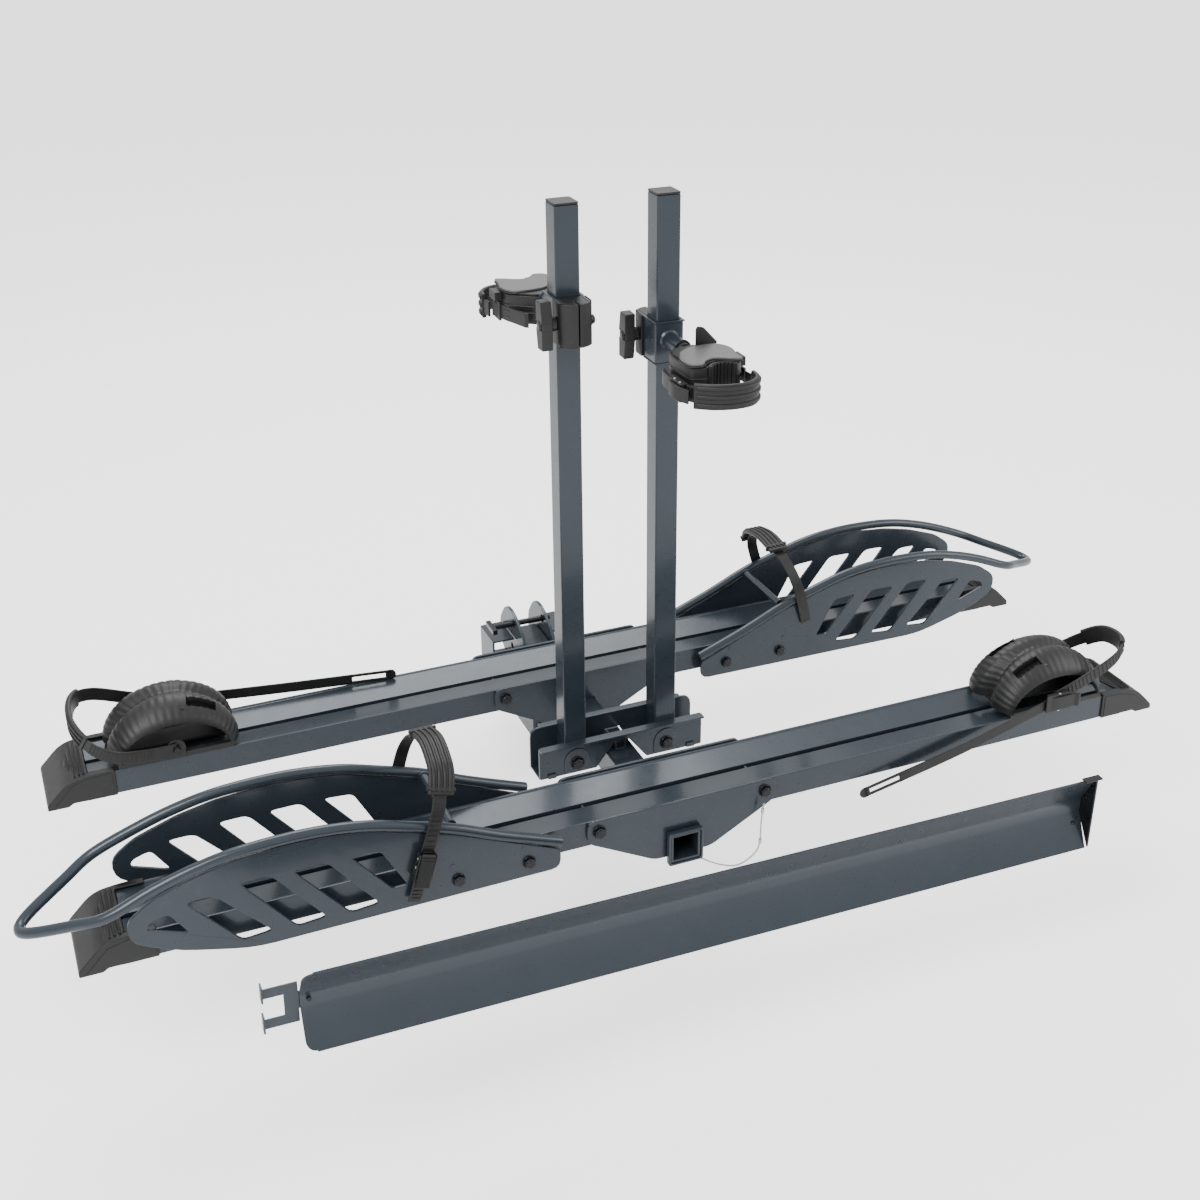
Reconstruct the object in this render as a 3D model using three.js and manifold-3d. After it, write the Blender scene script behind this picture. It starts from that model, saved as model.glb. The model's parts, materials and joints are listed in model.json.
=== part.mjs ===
// Two-bike platform rack for a 2 inch hitch receiver: a spine that tilts on a drop shank, two wheel
// trays, a mast of two folding posts with sliding frame clamps, wheel hoops, wheel cradles, a loading
// ramp and a locking hitch pin. Millimetres, +Z up, +Y towards the vehicle, +X along the trays.
// The origin is the centre of the hitch-pin hole in the shank.
import * as THREE from "three";
import { mergeVertices } from "three/addons/utils/BufferGeometryUtils.js";
import Module from "manifold-3d";

const wasm = await Module();
wasm.setup();

// ---- driving dimensions -------------------------------------------------------------------------
const GAP = 0.4; // clearance between touching pieces
const HITCH_TUBE = 50.8; // outside of the shank and of the spine, a 2 inch square tube
const HITCH_WALL = 4.8;
const HITCH_PIN = 15.9; // 5/8 inch pin
const DROP = 120; // spine axis above the shank axis
const SPINE_FRONT = -808; // front end of the spine
const SPINE_BACK = -64;
const PIVOT_Y = -140; // tilt hinge
const STOP_PIN_Z = 174; // the pin above the spine's rear end, which stops the tilt
const PLATE = 5.5; // bracket plate thickness
const TRAY_Y = { front: -731.5, rear: -301.5 }; // centre line of each tray
const TRAY_WIDTH = 121;
const TRAY_HALF_LENGTH = 835;
const TRAY_BOTTOM = 35; // above the spine axis
const TRAY_TOP = 77;
const TRAY_SHEET = 2.5;
const TRAY_GROOVE = 10; // depth of the V under the tray's lips
const TRAY_SLOT = 10; // width of the T-slot along the tray
const TRAY_END = 903; // tip of the end cap
const CAP_START = 795;
const BOLT_X = 141; // bracket bolts either side of the spine
const BOLT_Z = 60;
const MAST_Y = -528; // centre line of the two posts
const POST = 38.1;
const POST_WALL = 2.5;
const POST_X = 81;
const POST_PIVOT_Z = 24;
const POST_TOP = 958;
const HOOP_BOLT_X = { front: 369, rear: 387 }; // first hoop bolt from the spine
const HOOP_BOLT_PITCH = 109.5;
const HOOP_BOLT_Z = 48.5;
const HOOP_PLATE_Y = 78.5; // middle of each hoop plate from the tray's centre line
const HOOP_PLATE = 5;
const HOOP_TUBE = 16;
const CRADLE_X = 697;
const CLAMP_Z = { right: 733, left: 790 };
const ARM_Z = 4; // the clamp's arm above the middle of its bracket
const STUD_Y = 37;
const CLAW_ASIDE = 17; // the groove beside the arm
const RAMP = { x: -67, y: -1000, z: 160.5, tilt: 0.02, left: -577.6, right: 664, sheet: 2.5 };
const LOCK_X = 67; // axis of the lock's body from the middle of the shank
const LOCK_RADIUS = 20;
const HOOP_STRAP_U = 51; // where the strap crosses the hoop, from the hoop's first bolt
const HOOP_STRAP_LEAN = -0.3;
const CLAMP_HALF = 33; // half the height of the sliding bracket

// ---- materials ----------------------------------------------------------------------------------
function finish(color, roughness, metalness) {
  return new THREE.MeshStandardMaterial({ color, roughness, metalness });
}
const POWDER_COAT = finish(0x3f4a58, 0.42, 0.35);
const BLACK_PLASTIC = finish(0x222224, 0.62, 0);
const BLACK_RUBBER = finish(0x1a1a1b, 0.8, 0);
const BLACK_STEEL = finish(0x17181b, 0.3, 0.8);
const BRIGHT_STEEL = finish(0xb9bbbd, 0.28, 1);

// ---- solids -------------------------------------------------------------------------------------
function solidOf(geometry) {
  const bare = geometry.index ? geometry.toNonIndexed() : geometry.clone();
  bare.deleteAttribute("normal");
  bare.deleteAttribute("uv");
  const merged = mergeVertices(bare, 1e-4);
  return new wasm.Manifold(
    new wasm.Mesh({
      numProp: 3,
      vertProperties: merged.attributes.position.array,
      triVerts: new Uint32Array(merged.index.array),
    }),
  );
}

function geometryOf(manifold) {
  const mesh = manifold.getMesh();
  const geometry = new THREE.BufferGeometry();
  geometry.setAttribute("position", new THREE.BufferAttribute(mesh.vertProperties, 3));
  geometry.setIndex(new THREE.BufferAttribute(mesh.triVerts, 1));
  geometry.computeVertexNormals();
  return geometry;
}

function join(...geometries) {
  return geometryOf(geometries.map(solidOf).reduce((sum, next) => sum.add(next)));
}

function cut(geometry, ...tools) {
  return geometryOf(tools.map(solidOf).reduce((left, tool) => left.subtract(tool), solidOf(geometry)));
}

// A box from its lowest to its highest corner.
function box([x0, y0, z0], [x1, y1, z1]) {
  const geometry = new THREE.BoxGeometry(x1 - x0, y1 - y0, z1 - z0);
  return geometry.translate((x0 + x1) / 2, (y0 + y1) / 2, (z0 + z1) / 2);
}

// A round or many-sided bar between two points.
function bar(from, to, radius, sides = 16) {
  const a = new THREE.Vector3(...from);
  const b = new THREE.Vector3(...to);
  const geometry = new THREE.CylinderGeometry(radius, radius, a.distanceTo(b), sides);
  const turn = new THREE.Quaternion().setFromUnitVectors(
    new THREE.Vector3(0, 1, 0),
    b.clone().sub(a).normalize(),
  );
  geometry.applyQuaternion(turn);
  const middle = a.add(b).multiplyScalar(0.5);
  return geometry.translate(middle.x, middle.y, middle.z);
}

function circle(u, v, radius, sides = 14) {
  const points = [];
  for (let i = 0; i < sides; i += 1) {
    const angle = (2 * Math.PI * i) / sides;
    points.push(new THREE.Vector2(u + radius * Math.cos(angle), v + radius * Math.sin(angle)));
  }
  return points;
}

// A closed outline from corners [u, v, radius]: a corner with a radius is rounded in a few steps.
function outline(corners, steps = 4) {
  const points = [];
  corners.forEach(([u, v, radius], i) => {
    const corner = new THREE.Vector2(u, v);
    if (!radius) {
      points.push(corner);
      return;
    }
    const before = corners[(i + corners.length - 1) % corners.length];
    const after = corners[(i + 1) % corners.length];
    const back = new THREE.Vector2(before[0] - u, before[1] - v);
    const on = new THREE.Vector2(after[0] - u, after[1] - v);
    const reach = Math.min(radius, back.length() * 0.48, on.length() * 0.48);
    back.setLength(reach);
    on.setLength(reach);
    const curve = new THREE.QuadraticBezierCurve(corner.clone().add(back), corner, corner.clone().add(on));
    points.push(...curve.getPoints(steps));
  });
  return points;
}

function rectangle(u0, v0, u1, v1, radius = 0) {
  return outline([
    [u0, v0, radius],
    [u1, v0, radius],
    [u1, v1, radius],
    [u0, v1, radius],
  ]);
}

const AXES = {
  x: [[0, 1, 0], [0, 0, 1], [1, 0, 0]], // outline in (y, z)
  y: [[1, 0, 0], [0, 0, 1], [0, -1, 0]], // outline in (x, z)
  z: [[1, 0, 0], [0, 1, 0], [0, 0, 1]], // outline in (x, y)
};

// A flat outline with holes, extruded along an axis between two places on it.
function extrude(axis, points, low, high, holes = []) {
  const shape = new THREE.Shape(points);
  shape.holes = holes.map((hole) => new THREE.Path(hole));
  const geometry = new THREE.ExtrudeGeometry(shape, { depth: high - low, bevelEnabled: false });
  const basis = AXES[axis].map((v) => new THREE.Vector3(...v));
  geometry.applyMatrix4(new THREE.Matrix4().makeBasis(...basis));
  const shift = { x: [low, 0, 0], y: [0, high, 0], z: [0, 0, low] }[axis];
  return geometry.translate(...shift);
}

// A round tube along a smooth curve through the points.
function sweep(points, radius, steps, sides = 10, closed = false) {
  const curve = new THREE.CatmullRomCurve3(
    points.map((p) => new THREE.Vector3(...p)),
    closed,
    "centripetal",
  );
  const shape = new THREE.Shape(circle(0, 0, radius, sides));
  return new THREE.ExtrudeGeometry(shape, { steps, extrudePath: curve, bevelEnabled: false });
}

// The outline of a strap of even thickness that follows a smooth line through flat points.
function strapOutline(points, thickness, steps) {
  const curve = new THREE.SplineCurve(points.map((p) => new THREE.Vector2(...p)));
  const line = curve.getSpacedPoints(steps);
  const left = [];
  const right = [];
  line.forEach((point, i) => {
    const tangent = line[Math.min(i + 1, steps)].clone().sub(line[Math.max(i - 1, 0)]).normalize();
    const normal = new THREE.Vector2(-tangent.y, tangent.x).multiplyScalar(thickness / 2);
    left.push(point.clone().add(normal));
    right.unshift(point.clone().sub(normal));
  });
  return [...left, ...right];
}

function squareTube(axis, low, high, outside, wall, [u, v] = [0, 0]) {
  const half = outside / 2;
  const inner = half - wall;
  return extrude(axis, rectangle(u - half, v - half, u + half, v + half, 3), low, high, [
    rectangle(u - inner, v - inner, u + inner, v + inner),
  ]);
}

function add(group, name, geometry, material) {
  const mesh = new THREE.Mesh(geometry, material);
  mesh.name = name;
  group.add(mesh);
  return mesh;
}

function place(group, x, y, z, turn = 0) {
  group.position.set(x, y, z);
  group.rotation.z = turn;
  return group;
}

// ---- shank, drop plates and tilt hinge ----------------------------------------------------------
function hitchShank() {
  const half = HITCH_TUBE / 2;
  const tube = squareTube("y", -196, 52, HITCH_TUBE, HITCH_WALL);
  const pinHole = bar([-half - 1, 0, 0], [half + 1, 0, 0], HITCH_PIN / 2 + 0.6, 20);
  return cut(tube, pinHole);
}

// The two plates carry the shank low down and the hinge above, with the lock hole in their round tops.
function dropPlate(side) {
  const inner = HITCH_TUBE / 2 + GAP;
  const near = side > 0 ? inner : -inner - 6;
  const corners = [
    [-196, -28, 10],
    [-84, -28, 10],
    [-84, 60, 12],
    [-18, 104, 6],
    [-18, 150, 14],
    [-52, 192, 26],
    [-92, 196, 26],
    [-160, 160, 30],
    [-164, 96, 12],
    [-196, 30, 8],
  ];
  const holes = [
    circle(PIVOT_Y, DROP, 8.5, 16),
    outline([
      [-106, 164, 3],
      [-94, 164, 3],
      [-94, 180, 3],
      [-106, 180, 3],
    ]),
    circle(-88, DROP, 6.6, 14),
  ];
  return extrude("x", outline(corners, 5), near, near + 6, holes);
}

// A folded box that ties the two plates together under the spine's rear end.
function crossBox() {
  const wide = 76;
  const lip = HITCH_TUBE / 2 + 6 + 2 * GAP + 1;
  const profile = [
    [-wide, 82],
    [wide, 82],
    [wide, 145.4],
    [lip, 145.4],
    [lip, 141.4],
    [wide - 4, 141.4],
    [wide - 4, 86],
    [4 - wide, 86],
    [4 - wide, 141.4],
    [-lip, 141.4],
    [-lip, 145.4],
    [-wide, 145.4],
  ].map(([u, v]) => new THREE.Vector2(u, v));
  const slots = [-1, 1].map((side) => {
    const middle = side * (HITCH_TUBE / 2 + GAP + 3);
    return box([middle - 3.5, -110, 80], [middle + 3.5, -40, 90]);
  });
  return cut(extrude("y", profile, -104, -30), ...slots);
}

function headedBolt(from, to, radius, headRadius, headLength) {
  const a = new THREE.Vector3(...from);
  const b = new THREE.Vector3(...to);
  const along = b.clone().sub(a).normalize();
  const seat = a.clone().add(along.clone().multiplyScalar(headLength));
  const overlap = seat.clone().sub(along.multiplyScalar(0.5));
  return join(bar(a.toArray(), seat.toArray(), headRadius, 6), bar(overlap.toArray(), b.toArray(), radius, 14));
}

function buildHitch(root) {
  add(root, "hitch_shank", hitchShank(), POWDER_COAT);
  add(root, "left_drop_plate", dropPlate(-1), POWDER_COAT);
  add(root, "right_drop_plate", dropPlate(1), POWDER_COAT);
  add(root, "pivot_crossbox", crossBox(), POWDER_COAT);
  const reach = HITCH_TUBE / 2 + 6 + 2 * GAP;
  const pivot = headedBolt([reach + 9, PIVOT_Y, DROP], [-reach - 12, PIVOT_Y, DROP], 8, 12, 9);
  add(root, "pivot_bolt", pivot, BLACK_STEEL);
  const stopPin = join(
    bar([-reach - 40, -100, STOP_PIN_Z], [reach + 8, -100, STOP_PIN_Z], 5.5, 14),
    box([-reach - 48, -122, STOP_PIN_Z - 5], [-reach - 39, -78, STOP_PIN_Z + 5]),
  );
  add(root, "tilt_stop_pin", stopPin, BRIGHT_STEEL);
}

// ---- spine --------------------------------------------------------------------------------------
function buildSpine(root) {
  const half = HITCH_TUBE / 2;
  const holes = [
    bar([-half - 1, PIVOT_Y, 0], [half + 1, PIVOT_Y, 0], 8.5, 16),
    bar([-half - 1, -88, 0], [half + 1, -88, 0], 6.6, 14),
  ];
  const tube = cut(squareTube("y", SPINE_FRONT, SPINE_BACK, HITCH_TUBE, HITCH_WALL), ...holes);
  const spine = place(new THREE.Group(), 0, 0, DROP);
  add(spine, "spine_tube", tube, POWDER_COAT);
  const inside = half + GAP;
  const ring = extrude("y", rectangle(-29.5, -29.5, 29.5, 29.5, 5), -810, -800 - GAP, [
    rectangle(-inside, -inside, inside, inside, 3),
  ]);
  add(spine, "spine_collar", ring, POWDER_COAT);
  root.add(spine);
}

// ---- wheel trays --------------------------------------------------------------------------------
// One bent sheet: floor, two walls and two lips that slope down to the slot along the middle.
function trayProfile() {
  const half = TRAY_WIDTH / 2;
  const t = TRAY_SHEET;
  const slot = TRAY_SLOT / 2;
  const groove = TRAY_TOP - TRAY_GROOVE;
  const right = [
    [half, TRAY_BOTTOM],
    [half, TRAY_TOP],
    [half - 4, TRAY_TOP],
    [half - 7, TRAY_TOP - 2.5],
    [slot, groove],
    [slot, groove - 7],
    [slot + t, groove - 7],
    [slot + t, groove - t],
    [half - t - 4, TRAY_TOP - 2.5 - t],
    [half - t, TRAY_TOP - t - 1],
    [half - t, TRAY_BOTTOM + t],
  ];
  const left = right.map(([u, v]) => [-u, v]).reverse();
  return [...right, ...left].map(([u, v]) => new THREE.Vector2(u, v));
}

function trayBracket(low) {
  const notch = HITCH_TUBE / 2 + GAP;
  const corners = [
    [-160, 80, 14],
    [-160, 42, 12],
    [-48, -18.3, 14],
    [-notch, -18.3],
    [-notch, notch],
    [notch, notch],
    [notch, -18.3],
    [48, -18.3, 14],
    [160, 42, 12],
    [160, 80, 14],
  ];
  const holes = [circle(-BOLT_X, BOLT_Z, 5.5, 12), circle(BOLT_X, BOLT_Z, 5.5, 12)];
  return extrude("y", outline(corners), low, low + PLATE, holes);
}

// The moulded end of a tray: a hood over the sheet that runs down to a blunt tip.
function endCap(side) {
  const half = TRAY_WIDTH / 2 + 3;
  const t = 3;
  const sidePoints = outline([
    [CAP_START, TRAY_BOTTOM - 1],
    [CAP_START + 68, TRAY_BOTTOM - 1],
    [CAP_START + 76, 29],
    [TRAY_END, 29],
    [TRAY_END, 38, 4],
    [866, 76, 22],
    [826, TRAY_TOP + t, 10],
    [CAP_START, TRAY_TOP + t],
  ]);
  const hood = extrude("y", sidePoints, -half, half);
  const sheet = TRAY_WIDTH / 2 + GAP;
  const seat = box([CAP_START - 1, -sheet, 20], [TRAY_HALF_LENGTH + GAP, sheet, TRAY_TOP + GAP]);
  const under = box([TRAY_HALF_LENGTH - 1, -sheet + 3, 20], [TRAY_END - 14, sheet - 3, 52]);
  const valley = extrude(
    "x",
    [
      [-half + 12, TRAY_TOP + 10],
      [-half + 12, TRAY_TOP + GAP],
      [0, TRAY_TOP - 9],
      [half - 12, TRAY_TOP + GAP],
      [half - 12, TRAY_TOP + 10],
    ]
      .reverse()
      .map(([u, v]) => new THREE.Vector2(u, v)),
    CAP_START - 1,
    TRAY_END - 20,
  );
  const cap = cut(hood, seat, under, valley);
  return side > 0 ? cap : cap.rotateZ(Math.PI);
}

// ---- wheel hoops --------------------------------------------------------------------------------
const HOOP_SLOT_PITCH = 77;

function hoopSlot(index) {
  const shift = index * HOOP_SLOT_PITCH;
  const lift = [133, 133, 122][index];
  return outline(
    [
      [118 + shift, 42, 8],
      [160 + shift, 38, 8],
      [238 + shift * 0.96, lift, 10],
      [190 + shift * 1.02, lift + 1, 10],
    ],
    3,
  );
}

function hoopPlate(low) {
  const corners = [
    [-160, 57, 8],
    [-160, 24, 22],
    [300, 20, 30],
    [405, 48, 30],
    [462, 78, 22],
    [466, 112, 16],
    [430, 138, 10],
    [368, 160, 10],
    [312, 172, 10],
    [245, 178, 10],
    [185, 176, 10],
    [125, 168, 10],
    [65, 149, 10],
    [4, 129, 10],
    [-70, 96, 10],
  ];
  const tipSlot = outline(
    [
      [384, 72, 8],
      [440, 93, 7],
      [436, 103, 7],
      [410, 112, 8],
    ],
    3,
  );
  const strapSlot = outline(
    [
      [76, 62, 5],
      [98, 62, 5],
      [156, 133, 8],
      [112, 130, 8],
    ],
    3,
  );
  const holes = [tipSlot, strapSlot, hoopSlot(0), hoopSlot(1), hoopSlot(2)];
  holes.push(circle(0, HOOP_BOLT_Z, 5.5, 10), circle(-HOOP_BOLT_PITCH, HOOP_BOLT_Z, 5.5, 10));
  return extrude("y", outline(corners, 3), low, low + HOOP_PLATE, holes);
}

// The bent tube: up one plate's edge, round the narrow tip and back down the other plate.
function hoopTube() {
  const side = [
    [-162, HOOP_PLATE_Y, 69],
    [-70, HOOP_PLATE_Y, 105],
    [4, HOOP_PLATE_Y, 138],
    [65, HOOP_PLATE_Y, 158],
    [125, HOOP_PLATE_Y, 176],
    [185, HOOP_PLATE_Y, 185],
    [245, HOOP_PLATE_Y, 187],
    [312, HOOP_PLATE_Y, 183],
    [368, HOOP_PLATE_Y, 172],
    [425, HOOP_PLATE_Y, 154],
    [488, HOOP_PLATE_Y, 128],
    [530, 56, 112],
    [584, 22, 92],
  ];
  const back = side.map(([u, v, z]) => [u, -v, z]).reverse();
  return sweep([...side, [598, 0, 86], ...back], HOOP_TUBE / 2, 64, 10);
}

// A hexagon-headed through bolt along Y with its nut on the far side of the two plates.
function throughBolt(x, z, half, radius) {
  return join(
    bar([x, -half - 6.4, z], [x, -half - GAP, z], radius * 1.75, 6),
    bar([x, -half - 1.4, z], [x, half + 1.4, z], radius, 10),
    bar([x, half + GAP, z], [x, half + 6.4, z], radius * 1.75, 6),
  );
}

// The strap arches over both tubes and leans back towards the mast.
function hoopStrap(points, thickness, width, steps) {
  const half = width / 2;
  const lines = strapOutline(points, thickness, steps);
  const band = extrude("x", lines, HOOP_STRAP_U - half, HOOP_STRAP_U + half);
  const lean = new THREE.Matrix4();
  lean.elements[8] = HOOP_STRAP_LEAN;
  lean.elements[12] = -100 * HOOP_STRAP_LEAN;
  return band.applyMatrix4(lean);
}

function buildHoop(parent, prefix, boltX) {
  const hoop = place(new THREE.Group(), boltX, 0, 0);
  const low = HOOP_PLATE_Y - HOOP_PLATE / 2;
  const outside = HOOP_PLATE_Y + HOOP_PLATE / 2;
  add(hoop, prefix + "_outer_plate", hoopPlate(low), POWDER_COAT);
  add(hoop, prefix + "_inner_plate", hoopPlate(-outside), POWDER_COAT);
  add(hoop, prefix + "_tube", hoopTube(), POWDER_COAT);
  const reach = HOOP_PLATE_Y - HOOP_TUBE / 2 - 1;
  add(hoop, prefix + "_cross_bar", bar([4, -reach, 138], [4, reach, 138], 6, 10), POWDER_COAT);
  const strapPath = [
    [-84.5, 100],
    [-90.5, 150],
    [-86, 190],
    [-58, 222],
    [0, 236],
    [58, 222],
    [86, 190],
    [90.5, 150],
    [87, 100],
    [88, 36],
  ];
  add(hoop, prefix + "_strap", hoopStrap(strapPath, 4, 26, 36), BLACK_RUBBER);
  const padPath = [
    [-40, 237.6],
    [0, 243.8],
    [40, 237.6],
    [62, 229.4],
  ];
  add(hoop, prefix + "_strap_pad", hoopStrap(padPath, 9, 38, 10), BLACK_RUBBER);
  parent.add(hoop);
}

// ---- wheel cradles ------------------------------------------------------------------------------
function arch(width, height, base, steps = 18) {
  const points = [];
  for (let i = 0; i <= steps; i += 1) {
    const angle = (Math.PI * i) / steps;
    points.push(new THREE.Vector2(width * Math.cos(angle), base + height * Math.sin(angle)));
  }
  return points;
}

// The moulded saddle: an arch across the tray with a valley for the tyre and a foot in the T-slot.
function cradleSaddle() {
  const seat = TRAY_TOP + GAP;
  const spring = seat + 3.4;
  const arched = extrude("y", [...arch(105, 92, spring), ...arch(86, 60, spring).reverse()], -63, 63);
  const tyre = [
    [-40, 166],
    [0, 151],
    [40, 166],
    [40, 190],
    [-40, 190],
  ].map(([u, v]) => new THREE.Vector2(u, v));
  const window = box([22, -22, 110], [62, 10, 190]);
  const rails = [-1, 1].map((side) => box([-95, side * 56.5 - 6, seat], [95, side * 56.5 + 6, seat + 9]));
  const floor = box([-95, -22, spring], [95, 22, spring + 5]);
  const foot = box([-42, 0.7 - TRAY_SLOT / 2, 62], [42, TRAY_SLOT / 2 - 0.7, spring + 2]);
  return join(cut(arched, extrude("x", tyre, -70, 70), window), ...rails, floor, foot);
}

function buildCradle(parent, prefix) {
  const cradle = place(new THREE.Group(), -CRADLE_X, 0, 0);
  add(cradle, prefix + "_saddle", cradleSaddle(), BLACK_PLASTIC);
  const loop = [
    [0, -68, 97],
    [-50, -70, 99],
    [-96, -69, 106],
    [-132, -52, 126],
    [-150, -16, 150],
    [-142, 38, 160],
    [-110, 67, 152],
    [-50, 71, 128],
    [8, 71, 108],
  ].map((p) => new THREE.Vector3(...p));
  const curve = new THREE.CatmullRomCurve3(loop, false, "centripetal");
  const section = new THREE.Shape(rectangle(-12, -2, 12, 2));
  const strap = new THREE.ExtrudeGeometry(section, { steps: 28, extrudePath: curve, bevelEnabled: false });
  add(cradle, prefix + "_strap", strap, BLACK_RUBBER);
  parent.add(cradle);
}

function buildTray(root, end) {
  const rear = end === "rear";
  const tray = place(new THREE.Group(), 0, TRAY_Y[end], DROP, rear ? 0 : Math.PI);
  const half = TRAY_WIDTH / 2;
  add(tray, end + "_tray", extrude("x", trayProfile(), -TRAY_HALF_LENGTH, TRAY_HALF_LENGTH), POWDER_COAT);
  add(tray, end + "_outer_bracket", trayBracket(half + GAP), POWDER_COAT);
  add(tray, end + "_inner_bracket", trayBracket(-half - GAP - PLATE), POWDER_COAT);
  add(tray, end + "_cap_hoop_end", endCap(1), BLACK_PLASTIC);
  add(tray, end + "_cap_cradle_end", endCap(-1), BLACK_PLASTIC);
  buildHoop(tray, end + "_hoop", HOOP_BOLT_X[end]);
  buildCradle(tray, end + "_cradle");
  root.add(tray);
}

// ---- mast ---------------------------------------------------------------------------------------
function mastPlate(low, bottom, top, radius) {
  const corners = [
    [-147, bottom, 3],
    [-46, bottom],
    [-14, 47],
    [14, 47],
    [46, bottom],
    [147, bottom, 3],
    [147, top, radius],
    [-147, top, radius],
  ];
  const holes = [-1, 1].map((side) => circle(side * POST_X, POST_PIVOT_Z, 6.5, 12));
  return extrude("y", outline(corners), low, low + 5, holes);
}

function buildPost(mast, side) {
  const name = side < 0 ? "left" : "right";
  const x = side * POST_X;
  const half = POST / 2;
  const post = squareTube("z", POST_PIVOT_Z - half, POST_TOP - GAP, POST, POST_WALL, [x, 0]);
  const hole = bar([x, -half - 1, POST_PIVOT_Z], [x, half + 1, POST_PIVOT_Z], 6.5, 12);
  add(mast, name + "_post", cut(post, hole), POWDER_COAT);
  const plug = half - POST_WALL - GAP;
  const cap = join(
    extrude("z", rectangle(x - half - 0.6, -half - 0.6, x + half + 0.6, half + 0.6, 2), POST_TOP, POST_TOP + 4),
    box([x - plug, -plug, POST_TOP - 18], [x + plug, plug, POST_TOP + 1]),
  );
  add(mast, name + "_post_cap", cap, BLACK_PLASTIC);
  add(mast, name + "_post_bolt", throughBolt(x, POST_PIVOT_Z, half + GAP + 5, 6), BLACK_STEEL);
}

function buildMast(root) {
  const mast = place(new THREE.Group(), 0, MAST_Y, DROP);
  const half = POST / 2 + GAP;
  const front = join(mastPlate(-half - 5, 5, 64, 3), box([-147, -half - 16, 60.5], [147, -half - 4.5, 64]));
  add(mast, "mast_front_plate", front, POWDER_COAT);
  add(mast, "mast_back_plate", mastPlate(half, 2, 78, 18), POWDER_COAT);
  const low = HITCH_TUBE / 2 + GAP;
  const tunnel = box([-7, -30, low + 3], [7, 30, low + 17]);
  const stub = cut(box([-10, GAP - half, low], [10, half - GAP, low + 20]), tunnel);
  add(mast, "mast_seat", stub, POWDER_COAT);
  buildPost(mast, -1);
  buildPost(mast, 1);
  root.add(mast);
}

// ---- frame clamps -------------------------------------------------------------------------------
// The sliding bracket wraps three sides of the post and carries the arm with its spigot.
function clampBracket() {
  const out = POST / 2 + 4.5;
  const inner = POST / 2 + 0.5;
  const corners = [
    [-out, -out, 3],
    [out, -out, 3],
    [out, 50],
    [inner, 50],
    [inner, -inner],
    [-inner, -inner],
    [-inner, 50],
    [-out, 50],
  ];
  const wrap = extrude("z", outline(corners), -CLAMP_HALF, CLAMP_HALF);
  const arm = bar([0, 1 - out, ARM_Z], [0, -71.5, ARM_Z], 12.7, 16);
  const spigot = bar([0, -71, ARM_Z], [0, -100, ARM_Z], 8, 14);
  return cut(join(wrap, arm, spigot), bar([-40, STUD_Y, 0], [40, STUD_Y, 0], 4.8, 12));
}

// The split plastic jaw closes the open side and pinches the post when its knob is tightened.
function clampJaw() {
  const side = 26.5;
  const back = [];
  for (let i = 0; i <= 10; i += 1) {
    const angle = (Math.PI * i) / 10;
    back.push(new THREE.Vector2(side * Math.cos(angle), 42 + 22 * Math.sin(angle)));
  }
  const front = [new THREE.Vector2(-side, 22), new THREE.Vector2(side, 22)];
  const body = extrude("z", [...front, ...back], -CLAMP_HALF, CLAMP_HALF);
  const room = [-1, 1].map((s) => {
    const middle = s * (POST / 2 + 2.5);
    return box([middle - 2.5, 18, -40], [middle + 2.5, 50.5, 40]);
  });
  const split = box([-1.2, 44, -40], [1.2, 70, 40]);
  return cut(body, ...room, split, bar([-40, STUD_Y, 0], [40, STUD_Y, 0], 4.8, 12));
}

// A wing knob on a stud that runs right through the jaw.
function clampKnob(side) {
  const corners = [
    [STUD_Y - 13, -34, 5],
    [STUD_Y + 11, -31, 6],
    [STUD_Y + 14, -6, 4],
    [STUD_Y + 13, 34, 5],
    [STUD_Y - 11, 31, 6],
    [STUD_Y - 14, 6, 4],
  ];
  const wing = extrude("x", outline(corners, 3), side > 0 ? 35 : -53, side > 0 ? 53 : -35);
  const hub = bar([side * 27, STUD_Y, 0], [side * 36, STUD_Y, 0], 9, 12);
  const stud = bar([side * -29, STUD_Y, 0], [side * 36, STUD_Y, 0], 4, 12);
  return join(wing, hub, stud);
}

// The claw that takes a bicycle's frame tube: a block that turns on the spigot, with a round groove.
function clampClaw() {
  const corners = outline([
    [-34, -74, 6],
    [-34, -170, 12],
    [-8, -173, 8],
    [44, -171, 10],
    [54, -122, 16],
    [41, -96, 12],
    [16, -74, 12],
  ]);
  const block = extrude("z", corners, -36, 16);
  const groove = bar([CLAW_ASIDE, -186, -50], [CLAW_ASIDE, -186, 30], 26, 24);
  const bore = bar([0, -70, ARM_Z], [0, -101, ARM_Z], 8.5, 16);
  return cut(block, groove, bore);
}

function clawStrap() {
  const path = [
    [-39, -90],
    [-43, -140],
    [-34, -184],
    [6, -211],
    [46, -209],
    [66, -178],
    [66, -150],
  ];
  return extrude("z", strapOutline(path, 3.5, 24), -40, -14);
}

function buildClamp(root, name, x, turn, knobSide) {
  const clamp = place(new THREE.Group(), x, MAST_Y, DROP + CLAMP_Z[name], turn);
  add(clamp, name + "_clamp_bracket", clampBracket(), POWDER_COAT);
  add(clamp, name + "_clamp_jaw", clampJaw(), BLACK_PLASTIC);
  add(clamp, name + "_clamp_knob", clampKnob(knobSide), BLACK_PLASTIC);
  add(clamp, name + "_claw", clampClaw(), BLACK_PLASTIC);
  add(clamp, name + "_claw_strap", clawStrap(), BLACK_RUBBER);
  root.add(clamp);
}

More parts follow.
